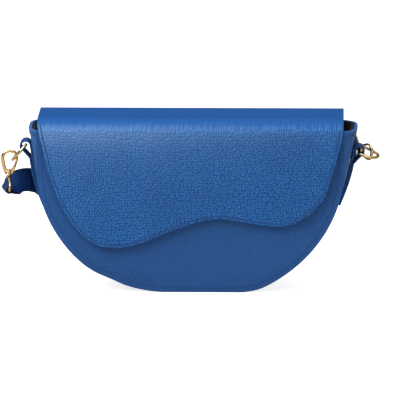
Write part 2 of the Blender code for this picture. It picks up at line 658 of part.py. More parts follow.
def build_hook(side, origin, axis, across, bar):
    frame = Frame(origin, axis, across)
    finish = gold("hook_metal_" + side)
    line = []
    nose_rise = (GATE_TIP_B + 2 * GAP + GATE_R - HOOK_WIDE_B) / (HOOK_TOP_B - HOOK_WIDE_B)
    nose = math.asin(nose_rise)
    for i in range(2 * HOOK_STEPS + 1):
        angle = nose + (HALF_TURN - nose) * i / (2 * HOOK_STEPS)
        rise = (HOOK_TOP_B - HOOK_WIDE_B) * math.sin(angle)
        line.append(frame.at(HOOK_HALF * math.cos(angle), HOOK_WIDE_B + rise))
    for i in range(1, HOOK_STEPS + 1):
        b = HOOK_WIDE_B + (NECK_B - HOOK_WIDE_B) * i / HOOK_STEPS
        line.append(frame.at(-claw_half(b), b))
    body = tube("hook_" + side, line, HOOK_WIRE_R, finish, resolution=HOOK_ROUND)
    collar = rod("collar", frame.at(0, COLLAR_BOTTOM_B), frame.at(0, COLLAR_TOP_B), COLLAR_R)
    combine(body, collar, "UNION")
    foot = frame.at(claw_half(GATE_FOOT_B), GATE_FOOT_B)
    root = frame.at(NECK_HALF, NECK_B)
    cheek_in = GATE_R + GAP
    for turn in (-1, 1):
        shift = frame.c * turn * (cheek_in + CHEEK_T / 2)
        cheek = swept(
            "cheek", [root + shift, foot + (foot - root).normalized() * GATE_R + shift],
            [frame.c] * 2, [(foot - root).normalized().cross(frame.c)] * 2, CHEEK_T / 2, GATE_R, finish,
        )
        combine(body, cheek, "UNION")
    bridge_end = root + (foot - root) * BRIDGE_END_SHARE
    bridge = swept(
        "bridge", [root - (foot - root) * BRIDGE_START_SHARE, bridge_end], [frame.c] * 2,
        [(foot - root).normalized().cross(frame.c)] * 2, cheek_in + CHEEK_T / 2, GATE_R * BRIDGE_T_SHARE, finish,
    )
    combine(body, bridge, "UNION")
    bore = rod("bore", frame.at(0, COLLAR_BOTTOM_B - OVERRUN), frame.at(0, COLLAR_TOP_B + OVERRUN), BORE_R, None, ROD_SIDES, True)
    combine(body, bore, "DIFFERENCE")
    pocket_top = SHANK_TOP_B + HEAD_T + GAP
    pocket = rod("pocket", frame.at(0, COLLAR_TOP_B), frame.at(0, pocket_top + OVERRUN), HEAD_R + GAP, None, ROD_SIDES, True)
    combine(body, pocket, "DIFFERENCE")
    for turn in (-1, 1):
        reach = (cheek_in + CHEEK_T + OVERRUN) * frame.c
        pin_hole = rod("pin_hole", foot, foot + reach * turn, PIN_R + GAP / 3, None, PIN_SIDES, True)
        combine(body, pin_hole, "DIFFERENCE")
    half = cheek_in + CHEEK_T
    pin_half = frame.c * half
    rod("gate_pin_" + side, foot - pin_half, foot + pin_half, PIN_R, gold("pin_metal_" + side), PIN_SIDES)
    build_gate(side, frame, foot)
    build_eye(side, frame, bar)
    return frame, foot


def build_gate(side, frame, foot):
    """The gate: a bar from its pin to the nose, with a slot for the spring."""
    finish = gold("gate_metal_" + side)
    line = []
    for i in range(GATE_STEPS + 1):
        b = GATE_FOOT_B + (GATE_TIP_B - GATE_FOOT_B) * i / GATE_STEPS
        line.append(frame.at(claw_half(b), b))
    gate = tube("gate_" + side, line, GATE_R, finish, origin=foot)
    boss = rod("boss", foot - frame.c * GATE_R, foot + frame.c * GATE_R, GATE_R)
    combine(gate, boss, "UNION")
    hole = rod("hole", foot - frame.c * 2 * GATE_R, foot + frame.c * 2 * GATE_R, PIN_R + GAP / 3, None, PIN_SIDES, True)
    combine(gate, hole, "DIFFERENCE")


def build_eye(side, frame, bar):
    """The swivel eye: a triangle of wire round the strap, its shank through the collar, headed over."""
    bar = (bar - frame.b * bar.dot(frame.b)).normalized()
    pivot = frame.origin
    line = [pivot + bar * EYE_HALF * share for share in EYE_BAR_SHARES]
    for along, high in EYE_SIDE_SHARES:
        line.append(pivot + bar * EYE_HALF * along + frame.b * EYE_APEX_B * high)
    line += [pivot + bar * SHANK_R + frame.b * EYE_APEX_B, pivot - bar * SHANK_R + frame.b * EYE_APEX_B]
    for along, high in reversed(EYE_SIDE_SHARES):
        line.append(pivot - bar * EYE_HALF * along + frame.b * EYE_APEX_B * high)
    eye = tube("eye_" + side, line, EYE_WIRE_R, gold("eye_metal_" + side), True, pivot)
    shank = rod("shank", frame.at(0, EYE_APEX_B), frame.at(0, SHANK_TOP_B + HEAD_T / 2), SHANK_R)
    combine(eye, shank, "UNION")
    head = rod("head", frame.at(0, SHANK_TOP_B), frame.at(0, SHANK_TOP_B + HEAD_T), HEAD_R)
    combine(eye, head, "UNION")


# Strap


class Route:
    """A smooth curve through hand-chosen points, measured by its length."""

    def __init__(self, spots, side_start, side_run):
        dense = []
        for i in range(len(spots) - 1):
            p0, p1 = spots[max(i - 1, 0)], spots[i]
            p2, p3 = spots[i + 1], spots[min(i + 2, len(spots) - 1)]
            for k in range(CURVE_STEPS):
                t = k / CURVE_STEPS
                dense.append(
                    (p1 * 2 + (p2 - p0) * t + (p0 * 2 - p1 * 5 + p2 * 4 - p3) * t * t
                     + (p1 * 3 - p0 - p2 * 3 + p3) * t * t * t) / 2
                )
        dense.append(spots[-1])
        self.points = dense
        self.lengths = [0.0]
        for a, b in zip(dense, dense[1:]):
            self.lengths.append(self.lengths[-1] + (b - a).length)
        self.total = self.lengths[-1]
        self.side_start = side_start
        self.side_run = side_run

    def at(self, s):
        if s < 0:
            return self.points[0] + self.along(0) * s
        if s > self.total:
            return self.points[-1] + self.along(self.total) * (s - self.total)
        low = 0
        while self.lengths[low + 1] < s and low < len(self.points) - 2:
            low += 1
        share = (s - self.lengths[low]) / (self.lengths[low + 1] - self.lengths[low])
        return self.points[low].lerp(self.points[low + 1], share)

    def along(self, s):
        reach = STRAP_STEP / 2
        spot = min(max(s, reach), self.total - reach)
        run = self.at(spot + reach) - self.at(spot - reach)
        if s < FOLD_OPEN and self.side_start is not None:
            run -= self.side_start * run.dot(self.side_start)
        elif s < FOLD_OPEN or s > self.total - FOLD_OPEN:
            run.z = 0
        return run.normalized()

    def near(self, spot):
        """The length along the route at which it passes a point."""
        best = min(range(len(self.points)), key=lambda i: (self.points[i] - spot).length)
        return self.lengths[best]

    def frame(self, s):
        along = self.along(s)
        up = Vector((0, 0, 1))
        if self.side_start is not None:
            t = min(max((s - FOLD_OPEN) / self.side_run, 0.0), 1.0)
            up = self.side_start.lerp(up, t * t * (3 - 2 * t))
        side = (up - along * up.dot(along)).normalized()
        return along, side, along.cross(side)

    def strip(self, name, plan, finish):
        """The strap through (length, offset) pairs."""
        centres = []
        for s, offset in plan:
            normal = self.frame(s)[2]
            centres.append(self.at(s) + normal * offset)
        sides, normals = [], []
        for i, (s, offset) in enumerate(plan):
            side = self.frame(s)[1]
            run = centres[min(i + 1, len(plan) - 1)] - centres[max(i - 1, 0)]
            run = (run - side * run.dot(side)).normalized()
            sides.append(side)
            normals.append(run.cross(side))
        return swept(name, centres, sides, normals, STRAP_W / 2, STRAP_T / 2, finish)


LAYER = (STRAP_T + GAP) / 2


def fold(bar_r, turn):
    """A folded end round a bar at length 0: back layer first, offsets on the side turn."""
    r = bar_r + GAP + STRAP_T / 2
    back = [FOLD_OPEN + (FOLD_BACK - FOLD_OPEN) * i / RUN_STEPS for i in range(1, RUN_STEPS + 1)]
    plan = [(s, LAYER * turn) for s in reversed(back)]
    plan.append((FOLD_OPEN, LAYER * turn))
    plan.append((FOLD_OPEN / 2, (LAYER + r) / 2 * turn))
    for i in range(FOLD_ARC_STEPS + 1):
        angle = HALF_TURN * (i / FOLD_ARC_STEPS + 1 / 2)
        plan.append((r * math.cos(angle), r * math.sin(angle) * turn))
    plan.append((FOLD_OPEN / 2, -(LAYER + r) / 2 * turn))
    plan.append((FOLD_OPEN, -LAYER * turn))
    plan += [(s, -LAYER * turn) for s in back]
    return plan


def box(name, low, high, hidden=False):
    centre = (low + high) / 2
    shell = bmesh.new()
    bmesh.ops.create_cube(shell, size=1)
    mesh = bpy.data.meshes.new(name)
    shell.to_mesh(mesh)
    shell.free()
    size = high - low
    mesh.transform(Matrix.Translation(centre) @ Matrix.Diagonal(size.to_4d()))
    item = bpy.data.objects.new(name, mesh)
    bpy.context.collection.objects.link(item)
    if hidden:
        item.hide_render = True
        item.display_type = "WIRE"
    return item


def buckle_box(name, u, n, w, hidden=False):
    """A box in the buckle's frame, from pairs of limits."""
    low = BUCKLE + Vector((u[0], n[0], w[0]))
    high = BUCKLE + Vector((u[1], n[1], w[1]))
    return box(name, low, high, hidden)


FOLD_R = FRAME_WIRE_R + GAP + STRAP_T          # outer radius of the short part's fold on the buckle
OVER_BAR = FOLD_R + 2 * GAP + STRAP_T / 2      # the long part's offset over the bar
TAIL_OFFSET = LAYER + STRAP_T + 2 * GAP        # and along the tail
FRONT_N = STRAP_T / 2 + GAP + FRAME_WIRE_R     # the front bar's offset


def by_eye(eye, spots):
    return [eye + Vector(p) * MM for p in spots]


def beside_bag(shares):
    return [Vector((x * HALF_WIDTH, HALF_DEPTH + y * MM, z * RIM_Z)) for x, y, z in shares]


def behind_bag(spots):
    return [Vector((x * MM, HALF_DEPTH + y * MM, z * MM)) for x, y, z in spots]


def build_strap():
    bar = BAR_LEFT - AXIS_LEFT * BAR_LEFT.dot(AXIS_LEFT)
    spots = by_eye(EYE_LEFT, LEAVE_LEFT) + beside_bag(FALL_LEFT_SHARES) + behind_bag(LIE_LONG)
    route = Route(spots, bar.normalized(), TWIST_RUN)
    at_bar = route.near(BUCKLE)
    turn = 1
    plan = fold(EYE_WIRE_R, turn)
    s = FOLD_BACK + STRAP_STEP
    while s < at_bar - FRAME_LONG - STRAP_STEP:
        plan.append((s, 0.0))
        s += STRAP_STEP
    outward = -1
    plan.append((at_bar - FRAME_LONG - 2 * FRAME_WIRE_R, 0.0))
    for share in RISE_SHARES:
        rise = share * share * (3 - 2 * share)
        plan.append((at_bar - FRAME_LONG * (1 - share), outward * OVER_BAR * rise))
    plan.append((at_bar + FOLD_OPEN / 2, outward * (OVER_BAR + TAIL_OFFSET) / 2))
    for i in range(RUN_STEPS + 1):
        plan.append((at_bar + FOLD_OPEN + (TAIL - FOLD_OPEN) * i / RUN_STEPS, outward * TAIL_OFFSET))
    long_part = route.strip("strap_long", plan, leather("strap_leather"))
    slot = buckle_box("slot", (-SLOT_FAR, -SLOT_NEAR), (-FOLD_R, 2 * FOLD_R), (-SLOT_HALF, SLOT_HALF), True)
    combine(long_part, slot, "DIFFERENCE")
    for u in HOLE_PLACES:
        side = Vector((0, 2 * FOLD_R, 0))
        spot = BUCKLE + Vector((u, 0, route.at(at_bar + u).z - BUCKLE.z))
        combine(long_part, rod("hole", spot - side, spot + side, HOLE_R, None, PIN_SIDES, True), "DIFFERENCE")

    spots = behind_bag(LIE_SHORT) + beside_bag(RISE_RIGHT_SHARES) + by_eye(EYE_RIGHT, REACH_RIGHT)
    back = Route(spots, None, TWIST_RUN)
    start = back.near(BUCKLE)
    plan = [(start + s, -offset) for s, offset in fold(FRAME_WIRE_R, 1)]
    end = back.total
    s = start + FOLD_BACK + STRAP_STEP
    while s < end - FOLD_BACK - STRAP_STEP / 2:
        plan.append((s, 0.0))
        s += STRAP_STEP
    plan += [(end - s, offset) for s, offset in reversed(fold(EYE_WIRE_R, 1))]
    short_part = back.strip("strap_short", plan, leather("strap_leather_short"))
    slot = buckle_box("slot", (-FOLD_OPEN, FOLD_OPEN), (-2 * FOLD_R, 2 * FOLD_R), (-SLOT_HALF, SLOT_HALF), True)
    combine(short_part, slot, "DIFFERENCE")
    print("strap", round((at_bar + end - start) / MM), "mm from eye to eye")


def build_buckle():
    corner = FRAME_WIRE_R * 2
    line = []
    for w_side in (-1, 1):
        ends = [
            (0, 0, FRAME_HALF - corner), (-corner, FRONT_N * corner / FRAME_LONG, FRAME_HALF),
            (-FRAME_LONG + corner, FRONT_N * (1 - corner / FRAME_LONG), FRAME_HALF),
            (-FRAME_LONG, FRONT_N, FRAME_HALF - corner),
        ]
        if w_side > 0:
            ends.reverse()
        line += [BUCKLE + Vector((u, n, w * w_side)) for u, n, w in ends]
    tube("buckle_frame", line, FRAME_WIRE_R, gold("buckle_metal"), True, BUCKLE)
    reach = FRAME_WIRE_R + GAP + PRONG_R
    line = []
    for i in range(PRONG_STEPS + 1):
        angle = PRONG_START + PRONG_TURN * i / PRONG_STEPS
        line.append(BUCKLE + Vector((reach * math.cos(angle), reach * math.sin(angle), 0)))
    tip_n = FRONT_N + FRAME_WIRE_R + GAP + PRONG_R
    line.append(BUCKLE + Vector((-FRAME_LONG / 2, (reach + tip_n) / 2, 0)))
    line.append(BUCKLE + Vector((-FRAME_LONG - PRONG_OVER, tip_n, 0)))
    tube("buckle_prong", line, PRONG_R, gold("prong_metal"), False, BUCKLE)
    inner_n = (-LAYER - STRAP_T / 2 - GAP, TAIL_OFFSET + STRAP_T / 2 + GAP)
    inner_w = (-STRAP_W / 2 - GAP, STRAP_W / 2 + GAP)
    for name, u, layers in (("keeper_fixed", KEEPER_FIXED_U, 2), ("keeper_sliding", KEEPER_SLIDING_U, 1)):
        low_n = inner_n[0] if layers == 2 else inner_n[0] + LAYER
        around = (low_n - KEEPER_T, inner_n[1] + KEEPER_T), (inner_w[0] - KEEPER_T, inner_w[1] + KEEPER_T)
        keeper = buckle_box(name, (u - KEEPER_W / 2, u + KEEPER_W / 2), *around)
        keeper.data.materials.append(leather(name + "_leather"))
        hole_u = (u - KEEPER_W / 2 - OVERRUN, u + KEEPER_W / 2 + OVERRUN)
        combine(keeper, buckle_box("hole", hole_u, (low_n, inner_n[1]), inner_w, True), "DIFFERENCE")


def main():
    clear_scene()
    build_shell()
    build_flap()
    build_snap()
    build_tab("tab_left", -1, LOOP_Z_LEFT)
    build_tab("tab_right", 1, LOOP_Z_RIGHT)
    build_ring("ring_left", -1, LOOP_Z_LEFT, RING_DIR_LEFT, RING_BAR_LEFT)
    build_ring("ring_right", 1, LOOP_Z_RIGHT, RING_DIR_RIGHT, RING_BAR_RIGHT)
    build_hook("left", EYE_LEFT, AXIS_LEFT, SIDE_LEFT, BAR_LEFT)
    build_hook("right", EYE_RIGHT, AXIS_RIGHT, SIDE_RIGHT, BAR_RIGHT)
    build_strap()
    build_buckle()


main()
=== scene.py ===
import math

import bpy
from mathutils import Matrix, Vector


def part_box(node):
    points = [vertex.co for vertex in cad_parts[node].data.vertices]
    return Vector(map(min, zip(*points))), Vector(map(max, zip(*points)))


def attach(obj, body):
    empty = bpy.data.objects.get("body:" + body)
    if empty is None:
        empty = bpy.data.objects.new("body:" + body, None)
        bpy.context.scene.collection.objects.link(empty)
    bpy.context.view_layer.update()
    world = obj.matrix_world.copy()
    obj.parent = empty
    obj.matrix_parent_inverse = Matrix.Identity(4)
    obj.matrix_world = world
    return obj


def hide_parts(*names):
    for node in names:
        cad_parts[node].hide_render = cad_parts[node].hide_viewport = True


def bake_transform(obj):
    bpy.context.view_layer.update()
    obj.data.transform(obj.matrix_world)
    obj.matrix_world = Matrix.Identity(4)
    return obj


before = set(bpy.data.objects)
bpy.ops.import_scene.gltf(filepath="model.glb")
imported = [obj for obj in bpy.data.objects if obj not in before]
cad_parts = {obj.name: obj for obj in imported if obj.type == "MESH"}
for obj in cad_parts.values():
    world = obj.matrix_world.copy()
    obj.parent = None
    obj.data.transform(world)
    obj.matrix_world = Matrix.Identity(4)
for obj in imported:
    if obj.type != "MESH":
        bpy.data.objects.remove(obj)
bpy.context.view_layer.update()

MM = 0.001


# Studio
# A white sweep with one large soft lamp high on the left, a weaker one on the right, a small one
# above and a dim sky. The camera stands a little right of the middle and looks down a few degrees.

CAMERA_AIM = Vector((8.2, -35.0, 79.6)) * MM
CAMERA_AWAY = 6.0
CAMERA_TURN = math.radians(1.3)
CAMERA_RISE = math.radians(9.4)
CAMERA_LENS = 635.4
CAMERA_SENSOR = 36
# Each lamp's name, place, aim, size and power
LAMPS = (
    ("key", (-0.75, -0.8, 1.0), (-0.05, 0, 0.09), 0.8, 13.4),
    ("fill", (0.9, -1.3, 0.4), (0, 0, 0.08), 0.9, 3.6),
    ("top", (0.1, -0.1, 1.3), (0, 0, 0.1), 0.5, 2.5),
)
WHITE = "#ffffff"
# The second colour is a painted reflection: the sweep is tan only where the gold reflects it
PAPER, PAPER_PAINTED_REFLECTION, PAPER_LIT = "#e6e6e6", "#c9b391", "#e9e9e9"
FLOOR_SIZE = 6
FLOOR_DROP = 0.2 * MM


def linear(hex_colour):
    """An sRGB hex value as the linear colour that the shaders use."""
    shares = [int(hex_colour[i:i + 2], 16) / 255 for i in (1, 3, 5)]
    return [s / 12.92 if s <= 0.04045 else ((s + 0.055) / 1.055) ** 2.4 for s in shares] + [1.0]


def node(tree, kind, links=(), sockets=None, **settings):
    """Adds a node, sets its properties and sockets by name, and links (from node, socket, to socket)."""
    made = tree.nodes.new("ShaderNode" + kind)
    for name, value in settings.items():
        setattr(made, name, value)
    for name, value in (sockets or {}).items():
        made.inputs[name].default_value = value
    for source, output, target in links:
        tree.links.new(source.outputs[output], made.inputs[target])
    return made


away = Vector((
    math.sin(CAMERA_TURN) * math.cos(CAMERA_RISE),
    -math.cos(CAMERA_TURN) * math.cos(CAMERA_RISE),
    math.sin(CAMERA_RISE),
))
camera = bpy.data.objects.new("camera", bpy.data.cameras.new("camera"))
bpy.context.scene.collection.objects.link(camera)
camera.location = CAMERA_AIM + away * CAMERA_AWAY
camera.rotation_euler = (-away).to_track_quat("-Z", "Y").to_euler()
camera.data.lens = CAMERA_LENS
camera.data.sensor_width = CAMERA_SENSOR
bpy.context.scene.camera = camera
bpy.context.scene.view_settings.view_transform = "Standard"

for name, place, aim, size, power in LAMPS:
    light = bpy.data.lights.new(name, "AREA")
    light.size = size
    light.energy = power
    lamp = bpy.data.objects.new(name, light)
    bpy.context.scene.collection.objects.link(lamp)
    lamp.location = place
    lamp.rotation_euler = (Vector(aim) - Vector(place)).to_track_quat("-Z", "Y").to_euler()

sky = bpy.data.worlds.new("sky")
bpy.context.scene.world = sky
sky.use_nodes = True
tree = sky.node_tree
tree.nodes.clear()
ray = node(tree, "LightPath")
direction = node(tree, "TexCoord")
parts = node(tree, "SeparateXYZ", [(direction, "Generated", "Vector")])
band = node(tree, "MapRange", [(parts, "Z", "Value")],
            {"From Min": 0.3, "From Max": 0.8, "To Min": 0.04, "To Max": 0.9})
shown = node(tree, "Math", [(ray, "Is Camera Ray", 0), (ray, "Is Transmission Ray", 1)], operation="MAXIMUM")
strength = node(tree, "Mix", [(shown, 0, "Factor"), (band, 0, "A")], {"B": 1.0}, data_type="FLOAT")
glow = node(tree, "Background", [(strength, 0, "Strength")], {"Color": linear(WHITE)})
node(tree, "OutputWorld", [(glow, 0, "Surface")])


def new_paint(name):
    """An empty material and its node tree."""
    paint = bpy.data.materials.new(name)
    paint.use_nodes = True
    paint.node_tree.nodes.clear()
    return paint, paint.node_tree


def floor_paint():
    """White sweep paper: it shows white and keeps only the soft shadow under the bag; in glossy rays it is
    tan, a painted reflection in the gold.
    """
    paint, tree = new_paint("white_sweep")
    ray = node(tree, "LightPath")
    # In glossy rays the white paper is shown tan, a painted brown reflection in the gold
    paper_and_painted_reflection = node(tree, "Mix", [(ray, "Is Glossy Ray", "Factor")],
                {6: linear(PAPER), 7: linear(PAPER_PAINTED_REFLECTION)}, data_type="RGBA")
    paper = node(tree, "BsdfDiffuse", [(paper_and_painted_reflection, 2, "Color")])
    lit = node(tree, "Emission", [(ray, "Is Camera Ray", "Strength")], {"Color": linear(PAPER_LIT)})
    both = node(tree, "AddShader", [(paper, 0, 0), (lit, 0, 1)])
    node(tree, "OutputMaterial", [(both, 0, "Surface")])
    return paint


bpy.ops.mesh.primitive_plane_add(size=FLOOR_SIZE, location=(0, 0, -FLOOR_DROP))
floor = bpy.context.active_object
floor.name = "floor"
floor.data.materials.append(floor_paint())


# Strap
# Two long strips of blue leather, each two layers stitched along both edges and painted dark on
# the cut edge. They fold round the swivel eyes and meet at a buckle behind the bag.

STRAP_HALF = 10.0 * MM
STRAP_THICK = 1.0 * MM
STRAP_STEP = 3.0 * MM
STRAP_BLUE = "#1f427c"
STRAP_CREASE = "#17325f"
EDGE_PAINT = "#131f38"
THREAD = "#1b3f76"
# A folded end is this long, opens this far from its bar, and lies this far off the route on each side
FOLD_BACK = 28 * MM
FOLD_OPEN = 6 * MM
LAYER = 1.15 * MM
# The long part turns upright over this length, from a little before its eye
TWIST_RUN = 10 * MM
TWIST_EARLY = 1 * MM
STITCH_PITCH = 3.4 * MM
STITCH_IN = 1.8 * MM
EYE_WIRE = 1.0 * MM
FRAME_WIRE = 1.2 * MM
FRAME_LONG = 17 * MM
CLEAR = 0.3 * MM
TAIL = 62 * MM
BUCKLE = Vector((6, 146, 14.2)) * MM
EYE_LEFT = Vector((-157.3, -2.4, 83.7)) * MM
AXIS_LEFT = Vector((0.087, 0.0, 0.996)).normalized()
BAR_LEFT = Vector((-0.22, 0.975, -0.04))
BAR_LEFT = (BAR_LEFT - AXIS_LEFT * BAR_LEFT.dot(AXIS_LEFT)).normalized()
EYE_RIGHT = Vector((137.8, 34.0, 114.6)) * MM
AXIS_RIGHT = Vector((0.5, -0.866, 0.0)).normalized()
BAR_RIGHT = Vector((0.0, 0.0, 1.0))
# A quarter of a strip's section, from its middle, as (across, through), with a groove for the stitches
STRAP_QUARTER = (
    (0.0, 1.10), (0.40, 1.08), (0.74, 1.02), (0.79, 0.98), (0.82, 0.86), (0.85, 0.98), (0.93, 0.94),
    (0.98, 0.70), (1.0, 0.0),
)
# Each part's route in mm: the long one from its eye to its tail, the short one from the buckle to its eye
ROUTE_LONG = (
    (-157.3, -2.4, 83.7), (-151.8, -1.5, 86.9), (-146.9, 1.6, 89.7), (-140.3, 10.2, 89.3),
    (-135.3, 20.2, 86.7), (-133.1, 29.5, 84), (-128.7, 38.8, 79.8), (-118, 44.8, 74.5), (-92, 52.5, 62),
    (-69.9, 54.5, 43.1), (-46.9, 56, 25), (-24, 59, 13.9), (0, 61, 10.8), (30, 62, 10.3),
    (58, 62.5, 10.3), (69, 66, 10.3), (73, 73, 10.3), (69, 80, 10.3), (58, 83.5, 10.3),
    (25, 84.5, 10.3), (-10, 83, 10.3), (-44, 84, 10.3), (-62, 84.5, 10.3), (-73, 88, 10.3),
    (-77, 95, 10.3), (-73, 102, 10.3), (-62, 105.5, 10.3), (-30, 106, 10.3), (0, 104.5, 10.3),
    (30, 105, 10.3), (56, 105.5, 10.3), (67, 109, 10.3), (71, 116, 10.3), (67, 123, 10.3),
    (56, 126, 10.3), (25, 126.5, 10.3), (-10, 125, 10.3), (-44, 125.5, 10.3), (-62, 126.5, 10.3),
    (-73, 130, 10.3), (-77, 136.5, 10.3), (-73, 143, 10.5), (-61, 146, 11.2), (-40, 146.2, 12.8),
    (-20, 146, 14), (6, 146, 14.2), (30, 146, 14.2), (50, 146, 14.2), (75, 146, 14.2),
)
ROUTE_SHORT = (
    (-4, 146, 14.2), (6, 146, 14.2), (30, 146, 14.2), (50, 146, 14.2), (75, 145.5, 14.2), (88, 139, 17),
    (100.7, 125, 29.9), (110.5, 107, 54), (117.7, 87, 81), (123.2, 66, 104), (128.2, 50.5, 112.8),
    (137.8, 34, 114.6),
)
# The length of each step from a fold's layer to the route, how far before its bars a straight run
# ends, and where the long part's last place before the buckle is
EASE = 6 * MM
RUN_END_LONG, RUN_END_SHORT = 5 * MM, 8 * MM
BAR_STEP = 2.4 * MM
STRAP_FAT = 0.28 * MM
# The strap's stitches end this far from its hook, and lie in the grooves at this share of its thickness
THREAD_END = 15 * MM
THREAD_SIT = 0.9
# A stitch's spindle, as (share of its length, share of its thickness), and its share of the pitch
SPINDLE = ((-0.5, 0.35), (-0.3, 0.9), (0.0, 1.0), (0.3, 0.9), (0.5, 0.35))
SPINDLE_SIDES = 6
SPINDLE_LONG = 0.84
# How much lower than wide the pebbles are, and where the edge paint starts across the strap, in mm
PEBBLE_TALL = (1.0, 1.0, 0.72)
PAINT_FROM, PAINT_TO = 9.6, 9.8


def smooth_line(spots, steps, closed=False):
    """A soft curve through the spots, with that many steps between each two."""
    count = len(spots)
    pick = (lambda i: spots[i % count]) if closed else (lambda i: spots[min(max(i, 0), count - 1)])
    line = []
    for i in range(count if closed else count - 1):
        p0, p1, p2, p3 = (Vector(pick(i + k)) for k in (-1, 0, 1, 2))
        for k in range(steps):
            t = k / steps
            line.append((p1 * 2 + (p2 - p0) * t + (p0 * 2 - p1 * 5 + p2 * 4 - p3) * t * t
                         + (p1 * 3 - p0 - p2 * 3 + p3) * t ** 3) / 2)
    return line if closed else line + [Vector(spots[-1])]


def heading(line, i, closed=False):
    """The direction of a line at one of its places."""
    before, after = (i - 1, (i + 1) % len(line)) if closed else (max(i - 1, 0), min(i + 1, len(line) - 1))
    return (line[after] - line[before]).normalized()


def lengths_along(line):
    """How far along a line each of its places is."""
    lengths = [0.0]
    for a, b in zip(line, line[1:]):
        lengths.append(lengths[-1] + (b - a).length)
    return lengths


def circle(middle, first, second, radius, sides):
    """Places round a circle, from its first direction towards its second."""
    angles = [2 * math.pi * k / sides for k in range(sides)]
    return [middle + (first * math.cos(angle) + second * math.sin(angle)) * radius for angle in angles]


def tube(rings, closed=False, flipped=False):
    """The points and faces of a skin over rings of places, with a flat end where it is open."""
    sides = len(rings[0])
    points = [p for ring in rings for p in ring]
    faces = []
    for i in range(len(rings) if closed else len(rings) - 1):
        here, there = i * sides, (i + 1) % len(rings) * sides
        for k in range(sides):
            m = (k + 1) % sides
            a, b, c, d = here + k, here + m, there + m, there + k
            faces.append((a, d, c, b) if flipped else (a, b, c, d))
    last = len(points) - 1
    ends = [] if closed else [range(sides), range(last, last - sides, -1)]
    faces += [tuple(end) if flipped else tuple(reversed(end)) for end in ends]
    return points, faces


def add_mesh(name, points, faces, finish):
    """A smooth mesh object at the origin from points in the bag's frame."""
    mesh = bpy.data.meshes.new(name)
    mesh.from_pydata([tuple(p) for p in points], [], faces)
    mesh.materials.append(finish)
    for face in mesh.polygons:
        face.use_smooth = True
    made = bpy.data.objects.new(name, mesh)
    bpy.context.scene.collection.objects.link(made)
    return made


class Walk:
    """A strap's route: its places, its lengths and which way its width lies."""

    def __init__(self, spots, bar=None):
        self.line = smooth_line([Vector(p) * MM for p in spots], 12)
        self.lengths = lengths_along(self.line)
        self.total = self.lengths[-1]
        self.bar = bar

    def at(self, s):
        if s < 0:
            return self.line[0] + self.along(0) * s
        if s > self.total:
            return self.line[-1] + self.along(self.total) * (s - self.total)
        low = 0
        while self.lengths[low + 1] < s and low < len(self.line) - 2:
            low += 1
        share = (s - self.lengths[low]) / (self.lengths[low + 1] - self.lengths[low])
        return self.line[low].lerp(self.line[low + 1], share)

    def along(self, s):
        reach = 2.5 * MM
        spot = min(max(s, reach), self.total - reach)
        run = self.at(spot + reach) - self.at(spot - reach)
        if s < FOLD_OPEN and self.bar is not None:
            run -= self.bar * run.dot(self.bar)
        elif s < FOLD_OPEN or s > self.total - FOLD_OPEN:
            run.z = 0
        return run.normalized()

    def near(self, spot):
        best = min(range(len(self.line)), key=lambda i: (self.line[i] - spot).length)
        return self.lengths[best]

    def side(self, s):
        up = Vector((0, 0, 1))
        if self.bar is not None:
            t = min(max((s + TWIST_EARLY) / TWIST_RUN, 0.0), 1.0)
            up = self.bar.lerp(up, t * t * (3 - 2 * t))
        along = self.along(s)
        return (up - along * up.dot(along)).normalized()


def fold(wire, turn):
    """The end of a strip round a bar, from its cut end on, as (length from the bar, offset)."""
    r = wire + CLEAR + STRAP_THICK
    back = [FOLD_OPEN + (FOLD_BACK - FOLD_OPEN) * i / 8 for i in range(1, 9)]
    plan = [(s, LAYER * turn) for s in reversed(back)]
    plan += [(FOLD_OPEN, LAYER * turn), (FOLD_OPEN / 2, (LAYER + r) / 2 * turn)]
    for i in range(13):
        angle = math.pi * (i / 12 + 0.5)
        plan.append((r * math.cos(angle), r * math.sin(angle) * turn))
    plan += [(FOLD_OPEN / 2, -(LAYER + r) / 2 * turn), (FOLD_OPEN, -LAYER * turn)]
    return plan + [(s, -LAYER * turn) for s in back]


def eased(plan, low, high):
    """The plan with a smooth step from one offset to the next between two lengths."""
    (s0, o0), (s1, o1) = low, high
    steps = 6
    for i in range(1, steps + 1):
        t = i / steps
        plan.append((s0 + (s1 - s0) * t, o0 + (o1 - o0) * t * t * (3 - 2 * t)))


def straight(plan, start, end):
    """The plan with a place on the route at each step between two lengths."""
    s = start + STRAP_STEP
    while s < end:
        plan.append((s, 0.0))
        s += STRAP_STEP


def whole_section(quarter):
    """A section round a strip from its quarter between the top and the right side."""
    half = list(quarter) + [(u, -n) for u, n in reversed(quarter) if n]
    return half + [(-u, n) for u, n in reversed(half[1:-1])]


def strip(name, walk, plan, finish):
    """A leather strip along a plan, with the width and the length in millimetres as its UV map."""
    sides = [walk.side(s) for s, _ in plan]
    centres = [walk.at(s) + walk.along(s).cross(side) * offset for (s, offset), side in zip(plan, sides)]
    lengths = lengths_along(centres)
    section = whole_section(STRAP_QUARTER)
    rings, edges = [], []
    for i, (centre, side) in enumerate(zip(centres, sides)):
        ahead = heading(centres, i)
        normal = (ahead - side * ahead.dot(side)).normalized().cross(side)
        rings.append([centre + side * u * STRAP_HALF + normal * n * STRAP_THICK for u, n in section])
        edges.append((centre, side, normal))
    made = add_mesh(name, *tube(rings, flipped=True), finish)
    layer = made.data.uv_layers.new(name="width_and_length")
    for loop in made.data.loops:
        i, k = divmod(loop.vertex_index, len(section))
        layer.data[loop.index].uv = (section[k][0] * STRAP_HALF / MM, lengths[i] / MM)
    return made, edges


